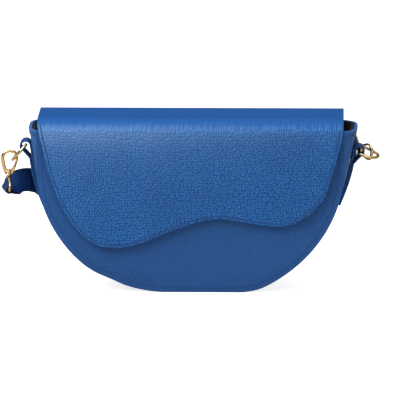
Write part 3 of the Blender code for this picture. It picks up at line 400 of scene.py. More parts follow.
def thread(name, lines, finish, pitch=STITCH_PITCH, fat=STRAP_FAT):
    """Rows of stitches: each a short spindle of thread that lies on the leather."""
    points, faces = [], []
    for line in lines:
        lengths = lengths_along([place for place, _ in line])
        low, s = 0, pitch / 2
        while s < lengths[-1]:
            while lengths[low + 1] < s:
                low += 1
            share = (s - lengths[low]) / max(lengths[low + 1] - lengths[low], 1e-9)
            (start, start_up), (end, end_up) = line[low:low + 2]
            along = (end - start).normalized()
            up = start_up.lerp(end_up, share)
            up = (up - along * up.dot(along)).normalized()
            rings = []
            for reach, thick in SPINDLE:
                middle = start.lerp(end, share) + along * reach * pitch * SPINDLE_LONG - up * abs(reach) * fat
                rings.append(circle(middle, along.cross(up), up, thick * fat, SPINDLE_SIDES))
            base = len(points)
            stitch_points, stitch_faces = tube(rings)
            points += stitch_points
            faces += [tuple(base + corner for corner in face) for face in stitch_faces]
            s += pitch
    return add_mesh(name, points, faces, finish)


def leather(name, colour, crease, grain, relief, rough, edge=False, fold_grain_and_light=None):
    """Dyed cowhide, pebbled by shrinking: low shiny domes between fine creases, flatter in some places,
    in one deep tone. What a fold does to its grain, with a painted highlight band below it and a painted
    darker top, is added by the function fold_grain_and_light."""
    paint, tree = new_paint(name)
    place = node(tree, "TexCoord")
    level = node(tree, "SeparateXYZ", [(place, "Object", "Vector")])
    wander = node(tree, "TexNoise", [(place, "Object", "Vector")], {"Scale": 30.0, "Detail": 2.0})
    moved = node(tree, "VectorMath", [(wander, "Color", 0)], {"Scale": grain * 2.0}, operation="SCALE")
    spot = node(tree, "VectorMath", [(place, "Object", 0), (moved, 0, 1)], operation="ADD")
    tall = node(tree, "VectorMath", [(spot, 0, 0)], {1: PEBBLE_TALL}, operation="MULTIPLY")
    if fold_grain_and_light:
        # The pebbles follow the hide over its fold, so they lie on x and on the way up and back
        axes = node(tree, "SeparateXYZ", [(tall, 0, "Vector")])
        rolled = node(tree, "Math", [(axes, "Z", 0), (axes, "Y", 1)], operation="SUBTRACT")
        tall = node(tree, "CombineXYZ", [(axes, "X", "X"), (rolled, 0, "Y")])
    cells = node(tree, "TexVoronoi", [(tall, 0, "Vector")], {"Scale": 1 / grain, "Randomness": 0.62},
                 voronoi_dimensions="2D" if fold_grain_and_light else "3D")
    dome = node(tree, "MapRange", [(cells, "Distance", "Value")],
                {"From Min": 0.12, "From Max": 0.66, "To Min": 1.0, "To Max": 0.0})
    pores = node(tree, "TexNoise", [(place, "Object", "Vector")], {"Scale": 2400.0, "Detail": 1.0})
    fine = node(tree, "Math", [(pores, "Fac", 0), (dome, 0, 2)], {1: 0.12}, operation="MULTIPLY_ADD")
    patches = node(tree, "TexNoise", [(place, "Object", "Vector")], {"Scale": 26.0, "Detail": 2.0})
    swell = node(tree, "MapRange", [(patches, "Fac", "Value")],
                 {"From Min": 0.3, "From Max": 0.6, "To Min": 0.75, "To Max": 1.0})
    deep = node(tree, "MapRange", [(dome, 0, "Value")], {"To Min": 0.0 if fold_grain_and_light else 0.45})
    tinted = node(tree, "Mix", [(deep, 0, "Factor")],
                  {6: linear(crease), 7: linear(colour)}, data_type="RGBA")
    cloudy = node(tree, "TexNoise", [(place, "Object", "Vector")],
                  {"Scale": 14.0, "Detail": 4.0, "Roughness": 0.6})
    tone = node(tree, "MapRange", [(cloudy, "Fac", "Value")],
                {"From Min": 0.3, "From Max": 0.7, "To Min": 0.94, "To Max": 1.07})
    dyed = node(tree, "VectorMath", [(tinted, 2, 0), (tone, 0, 1)], operation="MULTIPLY")
    dye_and_painted_light = (dyed, 0)
    if fold_grain_and_light:
        swell, dye_and_painted_light = fold_grain_and_light(tree, level, swell, dye_and_painted_light)
    height = node(tree, "Math", [(fine, 0, 0), (swell, 0, 1)], operation="MULTIPLY")
    bump = node(tree, "Bump", [(height, 0, "Height")], {"Strength": relief, "Distance": grain * 0.9})
    gloss = node(tree, "MapRange", [(dome, 0, "Value")], {"To Min": rough + 0.16, "To Max": rough})
    if edge:
        width = node(tree, "SeparateXYZ", [(place, "UV", "Vector")])
        rim = node(tree, "Math", [(width, "X", 0)], operation="ABSOLUTE")
        cut = node(tree, "MapRange", [(rim, 0, "Value")], {"From Min": PAINT_FROM, "From Max": PAINT_TO})
        painted = node(tree, "Mix", [(cut, 0, "Factor"), (*dye_and_painted_light, 6)], {7: linear(EDGE_PAINT)},
                       data_type="RGBA")
        dye_and_painted_light = (painted, 2)
    skin = node(tree, "BsdfPrincipled", [(*dye_and_painted_light, "Base Color"), (gloss, 0, "Roughness"), (bump, 0, "Normal")],
                {"Specular IOR Level": 0.2})
    node(tree, "OutputMaterial", [(skin, 0, "Surface")])
    return paint


def waxed_thread():
    """Bonded polyester thread in the leather's own blue: a soft satin round cord."""
    paint, tree = new_paint("bonded_thread")
    place = node(tree, "TexCoord")
    twist = node(tree, "TexNoise", [(place, "Object", "Vector")], {"Scale": 1500.0})
    bump = node(tree, "Bump", [(twist, "Fac", "Height")], {"Strength": 0.3, "Distance": 0.1 * MM})
    skin = node(tree, "BsdfPrincipled", [(bump, 0, "Normal")],
                {"Base Color": linear(THREAD), "Roughness": 0.5})
    node(tree, "OutputMaterial", [(skin, 0, "Surface")])
    return paint


strap_leather = leather("strap_cowhide", STRAP_BLUE, STRAP_CREASE, grain=1.5 * MM, relief=0.3, rough=0.36,
                        edge=True)
thread_paint = waxed_thread()


def strap_threads(name, edges, eye):
    """Two stitch rows on each face of a strip, in its grooves, which end short of its hook."""
    edges = [edge for edge in edges if (edge[0] - eye).length > THREAD_END]
    rows = []
    for face in (1, -1):
        for side in (1, -1):
            across = side * (STRAP_HALF - STITCH_IN)
            lift = face * THREAD_SIT * STRAP_THICK
            rows.append([(p + width * across + out * lift, out * face) for p, width, out in edges])
    return thread(name, rows, thread_paint)


long_walk = Walk(ROUTE_LONG, BAR_LEFT)
at_bar = long_walk.near(BUCKLE)
before_bar = at_bar - FRAME_LONG
over_bar = FRAME_WIRE + 3 * CLEAR + 3 * STRAP_THICK
tail_off = LAYER + 2 * STRAP_THICK + 2 * CLEAR
plan = fold(EYE_WIRE, 1)
eased(plan, (FOLD_BACK, -LAYER), (FOLD_BACK + EASE, 0.0))
straight(plan, FOLD_BACK + EASE, before_bar - RUN_END_LONG)
plan.append((before_bar - BAR_STEP, 0.0))
eased(plan, (before_bar, 0.0), (at_bar, -over_bar))
eased(plan, (at_bar, -over_bar), (at_bar + FOLD_OPEN, -tail_off))
plan += [(at_bar + FOLD_OPEN + (TAIL - FOLD_OPEN) * i / 12, -tail_off) for i in range(1, 13)]
strap_long, long_edges = strip("strap_holed_part", long_walk, plan, strap_leather)
long_thread = strap_threads("strap_holed_part_stitches", long_edges, EYE_LEFT)
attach(strap_long, "bag")
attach(long_thread, "bag")
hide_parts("strap_long")
reach = [long_walk.at(at_bar * i / 150) for i in range(151)]
reach += [long_walk.at(at_bar + TAIL * i / 10) for i in range(1, 11)]

short_walk = Walk(ROUTE_SHORT)
start, end = short_walk.near(BUCKLE), short_walk.total
plan = [(start + s, -offset) for s, offset in fold(FRAME_WIRE, 1)]
eased(plan, (start + FOLD_BACK, LAYER), (start + FOLD_BACK + EASE, 0.0))
straight(plan, start + FOLD_BACK + EASE, end - FOLD_BACK - RUN_END_SHORT)
eased(plan, (end - FOLD_BACK - EASE, 0.0), (end - FOLD_BACK, -LAYER))
plan += [(end - s, offset) for s, offset in list(reversed(fold(EYE_WIRE, 1)))[1:]]
strap_short, short_edges = strip("strap_buckle_part", short_walk, plan, strap_leather)
short_thread = strap_threads("strap_buckle_part_stitches", short_edges, EYE_RIGHT)
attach(strap_short, "bag")
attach(short_thread, "bag")
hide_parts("strap_short")
reach = [short_walk.at(start + (end - start) * i / 60) for i in range(61)]


# Body and flap
# One hide makes the back and the flap: it stands up the back, folds over the top and hangs down
# the front, where its wavy edge is cut and painted. The front is a second half moon, and a strip
# gusset joins them from ear to ear. All edges are stitched a few millimetres in.

HALF_WIDTH = 130 * MM
HALF_DEPTH = 35 * MM
DROP = 117 * MM
CENTRE_Z = 108 * MM
RIM_Z = 138 * MM
CORNER_Z = 5 * MM
BASE_HALF = 20 * MM
# How far each ear stands out at the rim, where it starts, how it rises and how square it is across
EAR_LEFT = 8.0 * MM
EAR_RIGHT = 11.5 * MM
EAR_START_Z = 72 * MM
EAR_POWER = 1.3
EAR_SQUARE = 4.5
GUSSET_HALF = 33.0 * MM
HINGE_Z = 143.3 * MM
FLAP_TOP = 149 * MM
FLAP_FRONT = -40.4 * MM
REAR_FOLD = 5.5 * MM
FRONT_FOLD = 12 * MM
HIDE = 1.8 * MM
FRONT_T = 2.0 * MM
FRONT_OUT = 1.0 * MM
FRONT_SWELL = 0.9 * MM
EDGE_SOFT, GUSSET_SOFT = 0.35 * MM, 0.3 * MM
COLUMNS = 260
FLAP_BLUE, FLAP_CREASE = "#2e71b7", "#0f4a90"
BODY_BLUE, BODY_CREASE = "#22538f", "#1c467c"
# The gusset is the body's hide in a paler tone: painted light that lifts the shade on the bag's sides
GUSSET_LIT_BLUE, GUSSET_LIT_CREASE = "#2a5f9f", "#22508a"
PAINTED_EDGE = "#234f8a"
HEM = 5 * MM
HEM_TURN = 0.5 * MM
HEM_EDGE = 0.5 * MM
# The flap's top sags a little between its folds, and its front rolls in below them and ripples
TOP_SAG = 0.7 * MM
LEAST_DROP = 1.2 * MM
ROLL = 1.9 * MM
ROLL_Z, ROLL_RISE = 112 * MM, 37 * MM
SLACK_Z, SLACK_RISE = 40 * MM, 60 * MM
RIPPLE = 0.35 * MM
HANG_Y = -34 * MM
BACK_STEPS = 30
# The hide over the flap's fold: its painted highlight band, where that fades to the right, its painted darker
# top and its flatter pebbles
PAINTED_HIGHLIGHT_BLUE, PAINTED_TOP_SHADE_BLUE = "#628cc2", "#005099"
HIGHLIGHT_LOW, HIGHLIGHT_HIGH = 60 * MM, 150 * MM
HIGHLIGHT_LEFT, HIGHLIGHT_RIGHT = -111 * MM, 90 * MM
TOP_SHADE_LOW, TOP_SHADE_HIGH = 141 * MM, 148 * MM
FLAT_LOW, FLAT_HIGH = 134 * MM, 146 * MM
# How strong the painted highlight is at each share of its height
HIGHLIGHT_RAMP = (
    (0.0, 0.05), (0.3, 0.08), (0.51, 0.18), (0.66, 0.3), (0.76, 0.52), (0.85, 1.0), (0.92, 0.5), (0.97, 0.05),
    (1.0, 0.0),
)
# Drops below the rim that the half moon's straight side needs, for its hem and its stitches
RIM_DROPS = (0, 0.6, 1.5, 3, 4.3, 4.7, 5.1, 5.6, 8, 12, 16, 20, 25)
# The flap's wavy edge from the left end of the fold to the right, in mm
FLAP_EDGE = (
    (-130.5, 146), (-129.5, 143), (-127.6, 133), (-125, 123), (-122, 110), (-120, 103), (-116, 91),
    (-112, 80.5), (-107, 70.5), (-101.5, 61.5), (-94.7, 53), (-88, 46.6), (-81, 42), (-75, 40),
    (-64, 39), (-54.7, 40), (-46, 42), (-36, 45.6), (-26, 49.9), (-17, 53.4), (-10.5, 56), (-1, 59.2),
    (8, 62), (17, 63.7), (26, 64.2), (35, 63.2), (44.5, 61.7), (53.5, 60.2), (62.6, 58.7), (72, 58),
    (81, 58.7), (90, 61.4), (99, 66.8), (107, 73.8), (112.5, 80.6), (116, 87.6), (118.8, 96.5),
    (121.6, 105.5), (124, 114), (126.3, 123.5), (128.4, 131.8), (129.8, 140), (130.5, 146),
)
# How far the base's left part stands off the ground, by x in mm, below a height
BASE_LIFT = (
    (-100, 0), (-95, 0.1), (-88, 0.6), (-80, 1.8), (-73, 3.3), (-66, 4.5), (-61, 4.6), (-55, 4.0),
    (-48, 3.1), (-41, 2.3), (-34, 1.6), (-21, 0.8), (-7, 0.1), (0, 0),
)
LIFT_BELOW = 60 * MM


def read_off(table, x):
    """The height of a table of (x, z) at x."""
    if x <= table[0][0]:
        return table[0][1]
    for (x0, z0), (x1, z1) in zip(table, table[1:]):
        if x <= x1:
            return z0 + (z1 - z0) * (x - x0) / max(x1 - x0, 1e-9)
    return table[-1][1]


def inside_of(curve, distance):
    """A curve of (x, z) moved by a distance along its normal, towards the bag's middle."""
    moved = []
    for i, p in enumerate(curve):
        along = heading(curve, i)
        moved.append(p + Vector((-along.y, along.x)) * distance)
    return moved


def outline(inset, steps=44):
    """The half moon from the left rim round the base to the right rim, as (x, z)."""
    lowest = math.asin((CENTRE_Z - CORNER_Z) / DROP)
    side = [Vector((HALF_WIDTH, RIM_Z - drop * MM)) for drop in RIM_DROPS]
    for i in range(steps + 1):
        angle = lowest * i / steps
        side.append(Vector((HALF_WIDTH * math.cos(angle), CENTRE_Z - DROP * math.sin(angle))))
    first, last = side[-1], Vector((BASE_HALF, 0))
    slope = Vector((-HALF_WIDTH * math.sin(lowest), -DROP * math.cos(lowest)))
    middle = first + slope * (first.y / -slope.y)
    for i in range(1, 11):
        t = i / 10
        side.append(first * (1 - t) ** 2 + middle * 2 * t * (1 - t) + last * t * t)
    side += [Vector((BASE_HALF * (1 - i / 8), 0)) for i in range(1, 8)]
    line = [Vector((-p.x, p.y)) for p in side] + [Vector((0, 0))] + list(reversed(side))
    for p in line:
        if p.x < 0 and p.y < LIFT_BELOW:
            p.y += read_off(BASE_LIFT, p.x / MM) * MM
    return inside_of(line, inset)


def bulge(z, y, side):
    """How far the gusset's ears stand out at a height and a depth."""
    if z < EAR_START_Z:
        return 0.0
    share = ((z - EAR_START_Z) / (RIM_Z - EAR_START_Z)) ** EAR_POWER
    high = EAR_LEFT if side < 0 else EAR_RIGHT
    return high * share * max(0.0, 1 - abs(y / GUSSET_HALF) ** EAR_SQUARE)


def grid_faces(rows, columns):
    """The faces between points that are given row by row."""
    faces = []
    for i in range(rows - 1):
        for j in range(columns - 1):
            a = i * columns + j
            faces.append((a, a + 1, a + columns + 1, a + columns))
    return faces


def select_only(*pieces):
    """Selects these pieces alone, with the first of them active."""
    bpy.ops.object.select_all(action="DESELECT")
    for piece in pieces:
        piece.select_set(True)
    bpy.context.view_layer.objects.active = pieces[0]


def finish_sheet(piece, thick, offset, bevel=0.0, painted=None):
    """Gives a sheet its thickness, a painted rim and a softened edge, and applies them."""
    if painted:
        piece.data.materials.append(painted)
    solid = piece.modifiers.new("thickness", "SOLIDIFY")
    solid.thickness = thick
    solid.offset = offset
    solid.use_even_offset = True
    solid.material_offset_rim = 1 if painted else 0
    names = [solid.name]
    if bevel:
        soft = piece.modifiers.new("soft_edge", "BEVEL")
        soft.width = bevel
        soft.segments = 2
        soft.limit_method = "ANGLE"
        soft.angle_limit = math.radians(50)
        names.append(soft.name)
    select_only(piece)
    for name in names:
        bpy.ops.object.modifier_apply(modifier=name)
    bpy.ops.object.shade_smooth_by_angle(angle=math.radians(40))


def spread(half, count):
    """Places across a half moon, closer together towards its steep ends."""
    shares = [2 * i / count - 1 for i in range(count + 1)]
    return [half * (0.35 * u + 0.65 * math.sin(math.pi / 2 * u)) for u in shares]


half_moon = outline(0)
low_edge = [(p.x, p.y) for p in half_moon if p.y < CENTRE_Z + 1e-6]
flap_edge = [(p.x * MM, p.y * MM) for p in smooth_line([(x, z, 0) for x, z in FLAP_EDGE], 8)]
flap_edge = sorted(flap_edge)


def hang(x, z):
    """How far the flap's front stands out: a roll below the fold, slack in the middle, a few waves."""
    high = min(max((z - ROLL_Z) / ROLL_RISE, 0.0), 1.0)
    low = min(max((z - SLACK_Z) / SLACK_RISE, 0.0), 1.0)
    roll = -ROLL * (1 - high * high) * (1 - abs(x / HALF_WIDTH) ** 6)
    ripple = RIPPLE * math.sin(x * 47 + 1.2) * math.sin(z * 38 + 0.4)
    return roll * (0.45 + 0.55 * low) + ripple * (1 - high)


def hide_column(x, depth=0.0, trim=0.0):
    """The hide at one x, or a line that deep under it, from the base up the back to the flap's edge."""
    low = max(read_off(low_edge, x), 0.0) if abs(x) < HALF_WIDTH * 0.99999 else CENTRE_Z
    column = [(HALF_DEPTH - depth, low + (HINGE_Z - low) * i / BACK_STEPS) for i in range(BACK_STEPS + 1)]
    rear, rear_r = HALF_DEPTH - REAR_FOLD, REAR_FOLD - depth
    front, front_r = FLAP_FRONT + FRONT_FOLD, FRONT_FOLD - depth
    for i in range(1, 9):
        angle = math.pi / 2 * i / 8
        column.append((rear + rear_r * math.cos(angle), FLAP_TOP - REAR_FOLD + rear_r * math.sin(angle)))
    for i in range(1, 12):
        t = i / 12
        sag = TOP_SAG * math.sin(math.pi * t) * (1 - abs(x / HALF_WIDTH) ** 4)
        column.append((rear + (front - rear) * t, FLAP_TOP - depth - sag))
    edge = read_off(flap_edge, x) + trim
    bend = FLAP_TOP - FRONT_FOLD
    sweep = math.pi / 2 if edge < bend else math.acos(min((edge - bend) / front_r, 0.97))
    for i in range(13):
        angle = sweep * i / 12
        column.append((front - front_r * math.sin(angle), bend + front_r * math.cos(angle)))
    face, last = column[-1]
    drop = max(last - edge, LEAST_DROP)
    column += [(face, last - drop * i / 36) for i in range(1, 37)]
    # Only what hangs in front of the bag rolls in and ripples
    return [Vector((x, y + (hang(x, z) if y < HANG_Y else 0.0), z)) for y, z in column]


def fold_grain_and_painted_light(tree, level, swell, dye_and_painted_light):
    """Cowhide over the flap's fold: flatter pebbles, with a painted highlight band below the fold and a
    painted darker top.
    """
    flatter = node(tree, "MapRange", [(level, "Z", "Value")],
                   {"From Min": FLAT_LOW, "From Max": FLAT_HIGH, "To Min": 1.0, "To Max": 0.15},
                   interpolation_type="SMOOTHSTEP")
    swell = node(tree, "Math", [(swell, 0, 0), (flatter, 0, 1)], operation="MULTIPLY")
    high = node(tree, "MapRange", [(level, "Z", "Value")], {"From Min": HIGHLIGHT_LOW, "From Max": HIGHLIGHT_HIGH})
    ramp = node(tree, "ValToRGB", [(high, 0, 0)])
    ramp.color_ramp.interpolation = "B_SPLINE"
    for place_on, _ in HIGHLIGHT_RAMP[1:-1]:
        ramp.color_ramp.elements.new(place_on)
    for stop, (place_on, share) in zip(ramp.color_ramp.elements, HIGHLIGHT_RAMP):
        stop.position, stop.color = place_on, (share, share, share, 1)
    # The painted highlight is strongest on the left, towards the key lamp, and fades to the right
    slope = node(tree, "MapRange", [(level, "X", "Value")],
                 {"From Min": HIGHLIGHT_LEFT, "From Max": HIGHLIGHT_RIGHT, "To Min": 1.0, "To Max": 0.22})
    highlight_amount = node(tree, "Math", [(ramp, 0, 0), (slope, 0, 1)], operation="MULTIPLY")
    with_highlight = node(tree, "Mix", [(highlight_amount, 0, "Factor"), (*dye_and_painted_light, 6)], {7: linear(PAINTED_HIGHLIGHT_BLUE)}, data_type="RGBA")
    # The top is painted a deeper blue: painted shade for a top face that reflects little light
    over = node(tree, "MapRange", [(level, "Z", "Value")], {"From Min": TOP_SHADE_LOW, "From Max": TOP_SHADE_HIGH},
                interpolation_type="SMOOTHSTEP")
    with_top_shade = node(tree, "Mix", [(over, 0, "Factor"), (with_highlight, 2, 6)], {7: linear(PAINTED_TOP_SHADE_BLUE)}, data_type="RGBA")
    return swell, (with_top_shade, 2)


across = spread(HALF_WIDTH, COLUMNS)
hide_points = [p for x in across for p in hide_column(x)]
rows = len(hide_column(0))
# The flap's hide carries a painted highlight band below the fold and a painted darker top
flap_hide = leather("pebbled_cowhide_painted_light", FLAP_BLUE, FLAP_CREASE, grain=1.75 * MM, relief=0.85, rough=0.4,
                    fold_grain_and_light=fold_grain_and_painted_light)
body_hide = leather("smooth_cowhide", BODY_BLUE, BODY_CREASE, grain=2.2 * MM, relief=0.08, rough=0.42)
edge_paint = leather("painted_cut_edge", PAINTED_EDGE, PAINTED_EDGE, grain=1.0 * MM, relief=0.1, rough=0.4)
saddle = add_mesh("back_and_flap", hide_points, grid_faces(len(across), rows), flap_hide)
finish_sheet(saddle, HIDE, -1.0, EDGE_SOFT, edge_paint)
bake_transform(saddle)
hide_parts("back_panel", "flap_leather")


def flat_moon(name, y, thick, inset, finish, swell=0.0, painted=None):
    """A half moon sheet at a depth, crowned a little in the middle."""
    line = outline(inset)
    low = [(p.x, p.y) for p in line if p.y < CENTRE_Z]
    half = HALF_WIDTH - inset
    xs = spread(half, 160)
    points = []
    for x in xs:
        bottom = max(read_off(low, x), inset, 0.0) if abs(x) < half * 0.99999 else CENTRE_Z
        for j in range(49):
            z = bottom + (RIM_Z - bottom) * j / 48
            rise = min((z - bottom) / (0.24 * FLAP_TOP), 0.5)
            crown = (1 - (x / half) ** 4) * math.sin(math.pi * rise) ** 0.8
            points.append(Vector((x, y - swell * crown, z)))
    piece = add_mesh(name, points, grid_faces(len(xs), 49), finish)
    finish_sheet(piece, thick, 1.0, EDGE_SOFT if painted else 0.0, painted)
    return piece


front = flat_moon("front_half_moon", -HALF_DEPTH, FRONT_T, -FRONT_OUT, body_hide, FRONT_SWELL, edge_paint)
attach(front, "bag")
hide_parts("front_panel")


def strip_band(name, inset, thick, half, finish, painted=None, lower=0.0, hem=0.0):
    """A strip that follows the half moon from ear to ear, with its ears standing out."""
    line = outline(inset)
    points = []
    for p in line:
        z = min(p.y, RIM_Z - lower)
        turn_out = hem * min(max((z - RIM_Z + HEM) / HEM_EDGE, 0.0), 1.0)
        for j in range(25):
            y = half * (2 * j / 24 - 1)
            points.append(Vector((p.x + math.copysign(bulge(z, y, p.x) + turn_out, p.x), y, z)))
    piece = add_mesh(name, points, grid_faces(len(line), 25), finish)
    finish_sheet(piece, thick, -1.0, GUSSET_SOFT if painted else 0.0, painted)
    return piece


# The gusset's paler tone is painted light on its shaded sides
gusset_lit_hide = leather("gusset_cowhide_painted_light", GUSSET_LIT_BLUE, GUSSET_LIT_CREASE, grain=2.2 * MM, relief=0.08, rough=0.42)
gusset = strip_band("gusset_strip", 0, HIDE, GUSSET_HALF, gusset_lit_hide, edge_paint, hem=HEM_TURN)
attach(gusset, "bag")
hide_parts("gusset")


# Stitching
# Thick bonded thread, a little darker than the hide, laid by machine: along the flap's edge, round
# both half moons and through the back, where each row holds the panel to the gusset's turned edge.

FLAP_ROW_IN = 2.3 * MM
FLAP_ROW_DOWN, MOON_ROW_DOWN = 4 * MM, 1 * MM
MOON_ROW_IN = 3.6 * MM
SEAM_PITCH = 3.0 * MM
CHANNEL_HALF = 0.5 * MM
CHANNEL_LIFT = 0.07 * MM
# A row leaves out what is farther off than this gap, and is looked for from in front, behind or beside
LONGEST_GAP = 12 * MM
LOOK_FROM = 100 * MM
LOOK_FROM_SIDE = 300 * MM
HEM_ROW_DOWN = 3.9 * MM
SEAM_FAT, HEM_FAT = 0.32 * MM, 0.22 * MM
# The channel is a darker strip lying on the hide: painted shade of the pressed groove under each row
CHANNEL_SHADE_BLUE, CHANNEL_SHADE_CREASE = "#1b4a88", "#163f75"
channel_shade_paint = leather("stitch_channel_painted_shade", CHANNEL_SHADE_BLUE, CHANNEL_SHADE_CREASE, grain=1.0 * MM, relief=0.1, rough=0.5)


def seam(name, piece, spots, towards, fat=SEAM_FAT, channel=True):
    """A stitch row on a darker strip, the painted shade of its pressed channel, found by looking from each
    spot towards the piece.
    """
    bpy.context.view_layer.update()
    line = []
    for spot in spots:
        found, place, normal, _ = piece.ray_cast(spot, towards)
        if found and (not line or (place - line[-1][0]).length < LONGEST_GAP):
            line.append((place, normal))
    row = thread(name, [line], thread_paint, SEAM_PITCH, fat)
    if not channel:
        return row
    points = []
    places = [place for place, _ in line]
    for i, (place, up) in enumerate(line):
        side = heading(places, i).cross(up).normalized() * CHANNEL_HALF
        points += [place + up * CHANNEL_LIFT - side, place + up * CHANNEL_LIFT + side]
    faces = [(2 * i, 2 * i + 1, 2 * i + 3, 2 * i + 2) for i in range(len(line) - 1)]
    select_only(row, add_mesh(name + "_channel", points, faces, channel_shade_paint))
    bpy.ops.object.join()
    return row


edge_line = [Vector(p) for p in flap_edge if abs(p[0]) < HALF_WIDTH]
flap_row = inside_of(edge_line, FLAP_ROW_IN)
row_half = HALF_WIDTH - FLAP_ROW_IN * 0.9
flap_row = [p for p in flap_row if abs(p.x) < row_half and p.y < FLAP_TOP - FLAP_ROW_DOWN]
flap_seam = seam("flap_edge_stitches", saddle, [(p.x, -LOOK_FROM, p.y) for p in flap_row], (0, 1, 0))
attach(flap_seam, "flap")
moon_row = [p for p in outline(MOON_ROW_IN, 70) if p.y < RIM_Z - MOON_ROW_DOWN]
front_seam = seam("front_stitches", front, [(p.x, -LOOK_FROM, p.y) for p in moon_row], (0, 1, 0))
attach(front_seam, "bag")
back_seam = seam("back_stitches", saddle, [(p.x, LOOK_FROM, p.y) for p in moon_row], (0, -1, 0))
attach(back_seam, "bag")
for side, word in ((-1, "left"), (1, "right")):
    hem_row = [(side * LOOK_FROM_SIDE, y * MM, RIM_Z - HEM_ROW_DOWN) for y in range(-32, 33)]
    hem_seam = seam("ear_hem_stitches_" + word, gusset, hem_row, (-side, 0, 0), HEM_FAT)
    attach(hem_seam, "bag")


# Lining
# Black cotton twill, cut like the leather pieces and sewn in at the rim, with a slip pocket on the
# back and a facing under the flap. It stands off the leather a little and hangs slack.

LINING_T = 0.7 * MM
LINING_IN = 4.1 * MM
TWILL_BLACK, TWILL_GREY = "#141517", "#2a2c30"
TWILL = 0.9 * MM
TWILL_TURN = (0.4, 0.9, 0.7)
POCKET_SLACK = 3.0 * MM
POCKET_ROW_IN = 2 * MM
POCKET_T = 0.8 * MM
POCKET_FAT = 0.2 * MM
BAND_IN = 3.1 * MM
BAND_LOWER = 0.3 * MM
FACING_IN = 2.6 * MM
FACING_UNDER = 2.9 * MM


def twill():
    """Black cotton twill: fine diagonal ribs, dull, with paler rubbed threads. The ribs are drawn
    coarser than they are, so that they show."""
    paint, tree = new_paint("black_twill")
    place = node(tree, "TexCoord")
    turn = node(tree, "Mapping", [(place, "Object", "Vector")], {"Rotation": TWILL_TURN})
    ribs = node(tree, "TexWave", [(turn, 0, "Vector")], {"Scale": 0.32 / TWILL, "Distortion": 0.6})
    lint = node(tree, "TexNoise", [(place, "Object", "Vector")], {"Scale": 900.0, "Detail": 3.0})
    height = node(tree, "Math", [(ribs, "Fac", 0), (lint, "Fac", 1)], operation="MULTIPLY")
    bump = node(tree, "Bump", [(height, 0, "Height")], {"Strength": 0.6, "Distance": 0.2 * MM})
    colour = node(tree, "Mix", [(height, 0, "Factor")],
                  {6: linear(TWILL_BLACK), 7: linear(TWILL_GREY)}, data_type="RGBA")
    cloth = node(tree, "BsdfPrincipled", [(colour, 2, "Base Color"), (bump, 0, "Normal")],
                 {"Roughness": 0.85, "Specular IOR Level": 0.2, "Sheen Weight": 0.1})
    node(tree, "OutputMaterial", [(cloth, 0, "Surface")])
    return paint


twill_cloth = twill()


def cloth_moon(name, node_name):
    """A half moon of twill in the place of a CAD lining."""
    low, high = (Vector(c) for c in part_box(node_name))
    piece = flat_moon(name, low.y, LINING_T, LINING_IN, twill_cloth)
    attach(piece, "bag")
    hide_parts(node_name)


low, high = (Vector(c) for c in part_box("gusset_lining"))
band_lining = strip_band("gusset_lining_band", BAND_IN, LINING_T, high.y, twill_cloth, lower=BAND_LOWER)
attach(band_lining, "bag")
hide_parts("gusset_lining")
cloth_moon("front_lining_moon", "front_lining")
cloth_moon("back_lining_moon", "back_lining")

low, high = (Vector(c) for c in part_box("slip_pocket"))
points = []
for i in range(49):
    for j in range(29):
        u, v = i / 48, j / 28
        slack = POCKET_SLACK * math.sin(math.pi * u) * v ** 3
        points.append((low.x + (high.x - low.x) * u, high.y - slack, low.z + (high.z - low.z) * v))
pocket = add_mesh("slip_pocket_cloth", points, grid_faces(49, 29), twill_cloth)
finish_sheet(pocket, POCKET_T, -1.0)
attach(pocket, "bag")
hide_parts("slip_pocket")
left, right, foot = low.x + POCKET_ROW_IN, high.x - POCKET_ROW_IN, low.z + POCKET_ROW_IN
corners = [Vector((x, 0, z)) for x, z in ((left, high.z), (left, foot), (right, foot), (right, high.z))]
spots = [a.lerp(b, i / 60) for a, b in zip(corners, corners[1:]) for i in range(60)]
pocket_seam = seam("slip_pocket_stitches", pocket, spots, (0, 1, 0), POCKET_FAT, channel=False)
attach(pocket_seam, "bag")


# The facing follows the hide's own line, a little under it and short of its edge
facing_across = [x * (1 - FACING_IN / HALF_WIDTH) for x in across]
facing_points = [p for x in facing_across for p in hide_column(x, FACING_UNDER, FACING_IN)[BACK_STEPS + 1:]]
facing_faces = grid_faces(len(across), rows - BACK_STEPS - 1)
facing = add_mesh("flap_facing", facing_points, facing_faces, twill_cloth)
finish_sheet(facing, LINING_T, 1.0)
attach(facing, "flap")
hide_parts("flap_lining")


# Magnetic snap
# A gold washer with a cupped socket on the front and a thin disc with a nub under the flap, each held
# from behind by a steel washer. All are turned and plated.

GOLD, GOLD_DEEP = "#f7e3bd", "#e6c48f"
STEEL, STEEL_DEEP = "#b9bcc0", "#8f9297"


def plated(name, colour, deep, rough):
    """Polished plating on a zinc casting: pale, bright and smooth, with faint waves and a few duller,
    handled spots."""
    paint, tree = new_paint(name)
    place = node(tree, "TexCoord")
    waves = node(tree, "TexNoise", [(place, "Object", "Vector")], {"Scale": 260.0, "Detail": 2.0})
    bump = node(tree, "Bump", [(waves, "Fac", "Height")], {"Strength": 0.12, "Distance": 0.25 * MM})
    handled = node(tree, "TexNoise", [(place, "Object", "Vector")], {"Scale": 500.0, "Detail": 4.0})
    dull = node(tree, "MapRange", [(handled, "Fac", "Value")],
                {"From Min": 0.4, "From Max": 0.75, "To Min": rough, "To Max": rough + 0.12})
    tint = node(tree, "Mix", [(waves, "Fac", "Factor")],
                {6: linear(colour), 7: linear(deep)}, data_type="RGBA")
    metal = node(tree, "BsdfPrincipled",
                 [(tint, 2, "Base Color"), (dull, 0, "Roughness"), (bump, 0, "Normal")], {"Metallic": 1.0})
    node(tree, "OutputMaterial", [(metal, 0, "Surface")])
    return paint


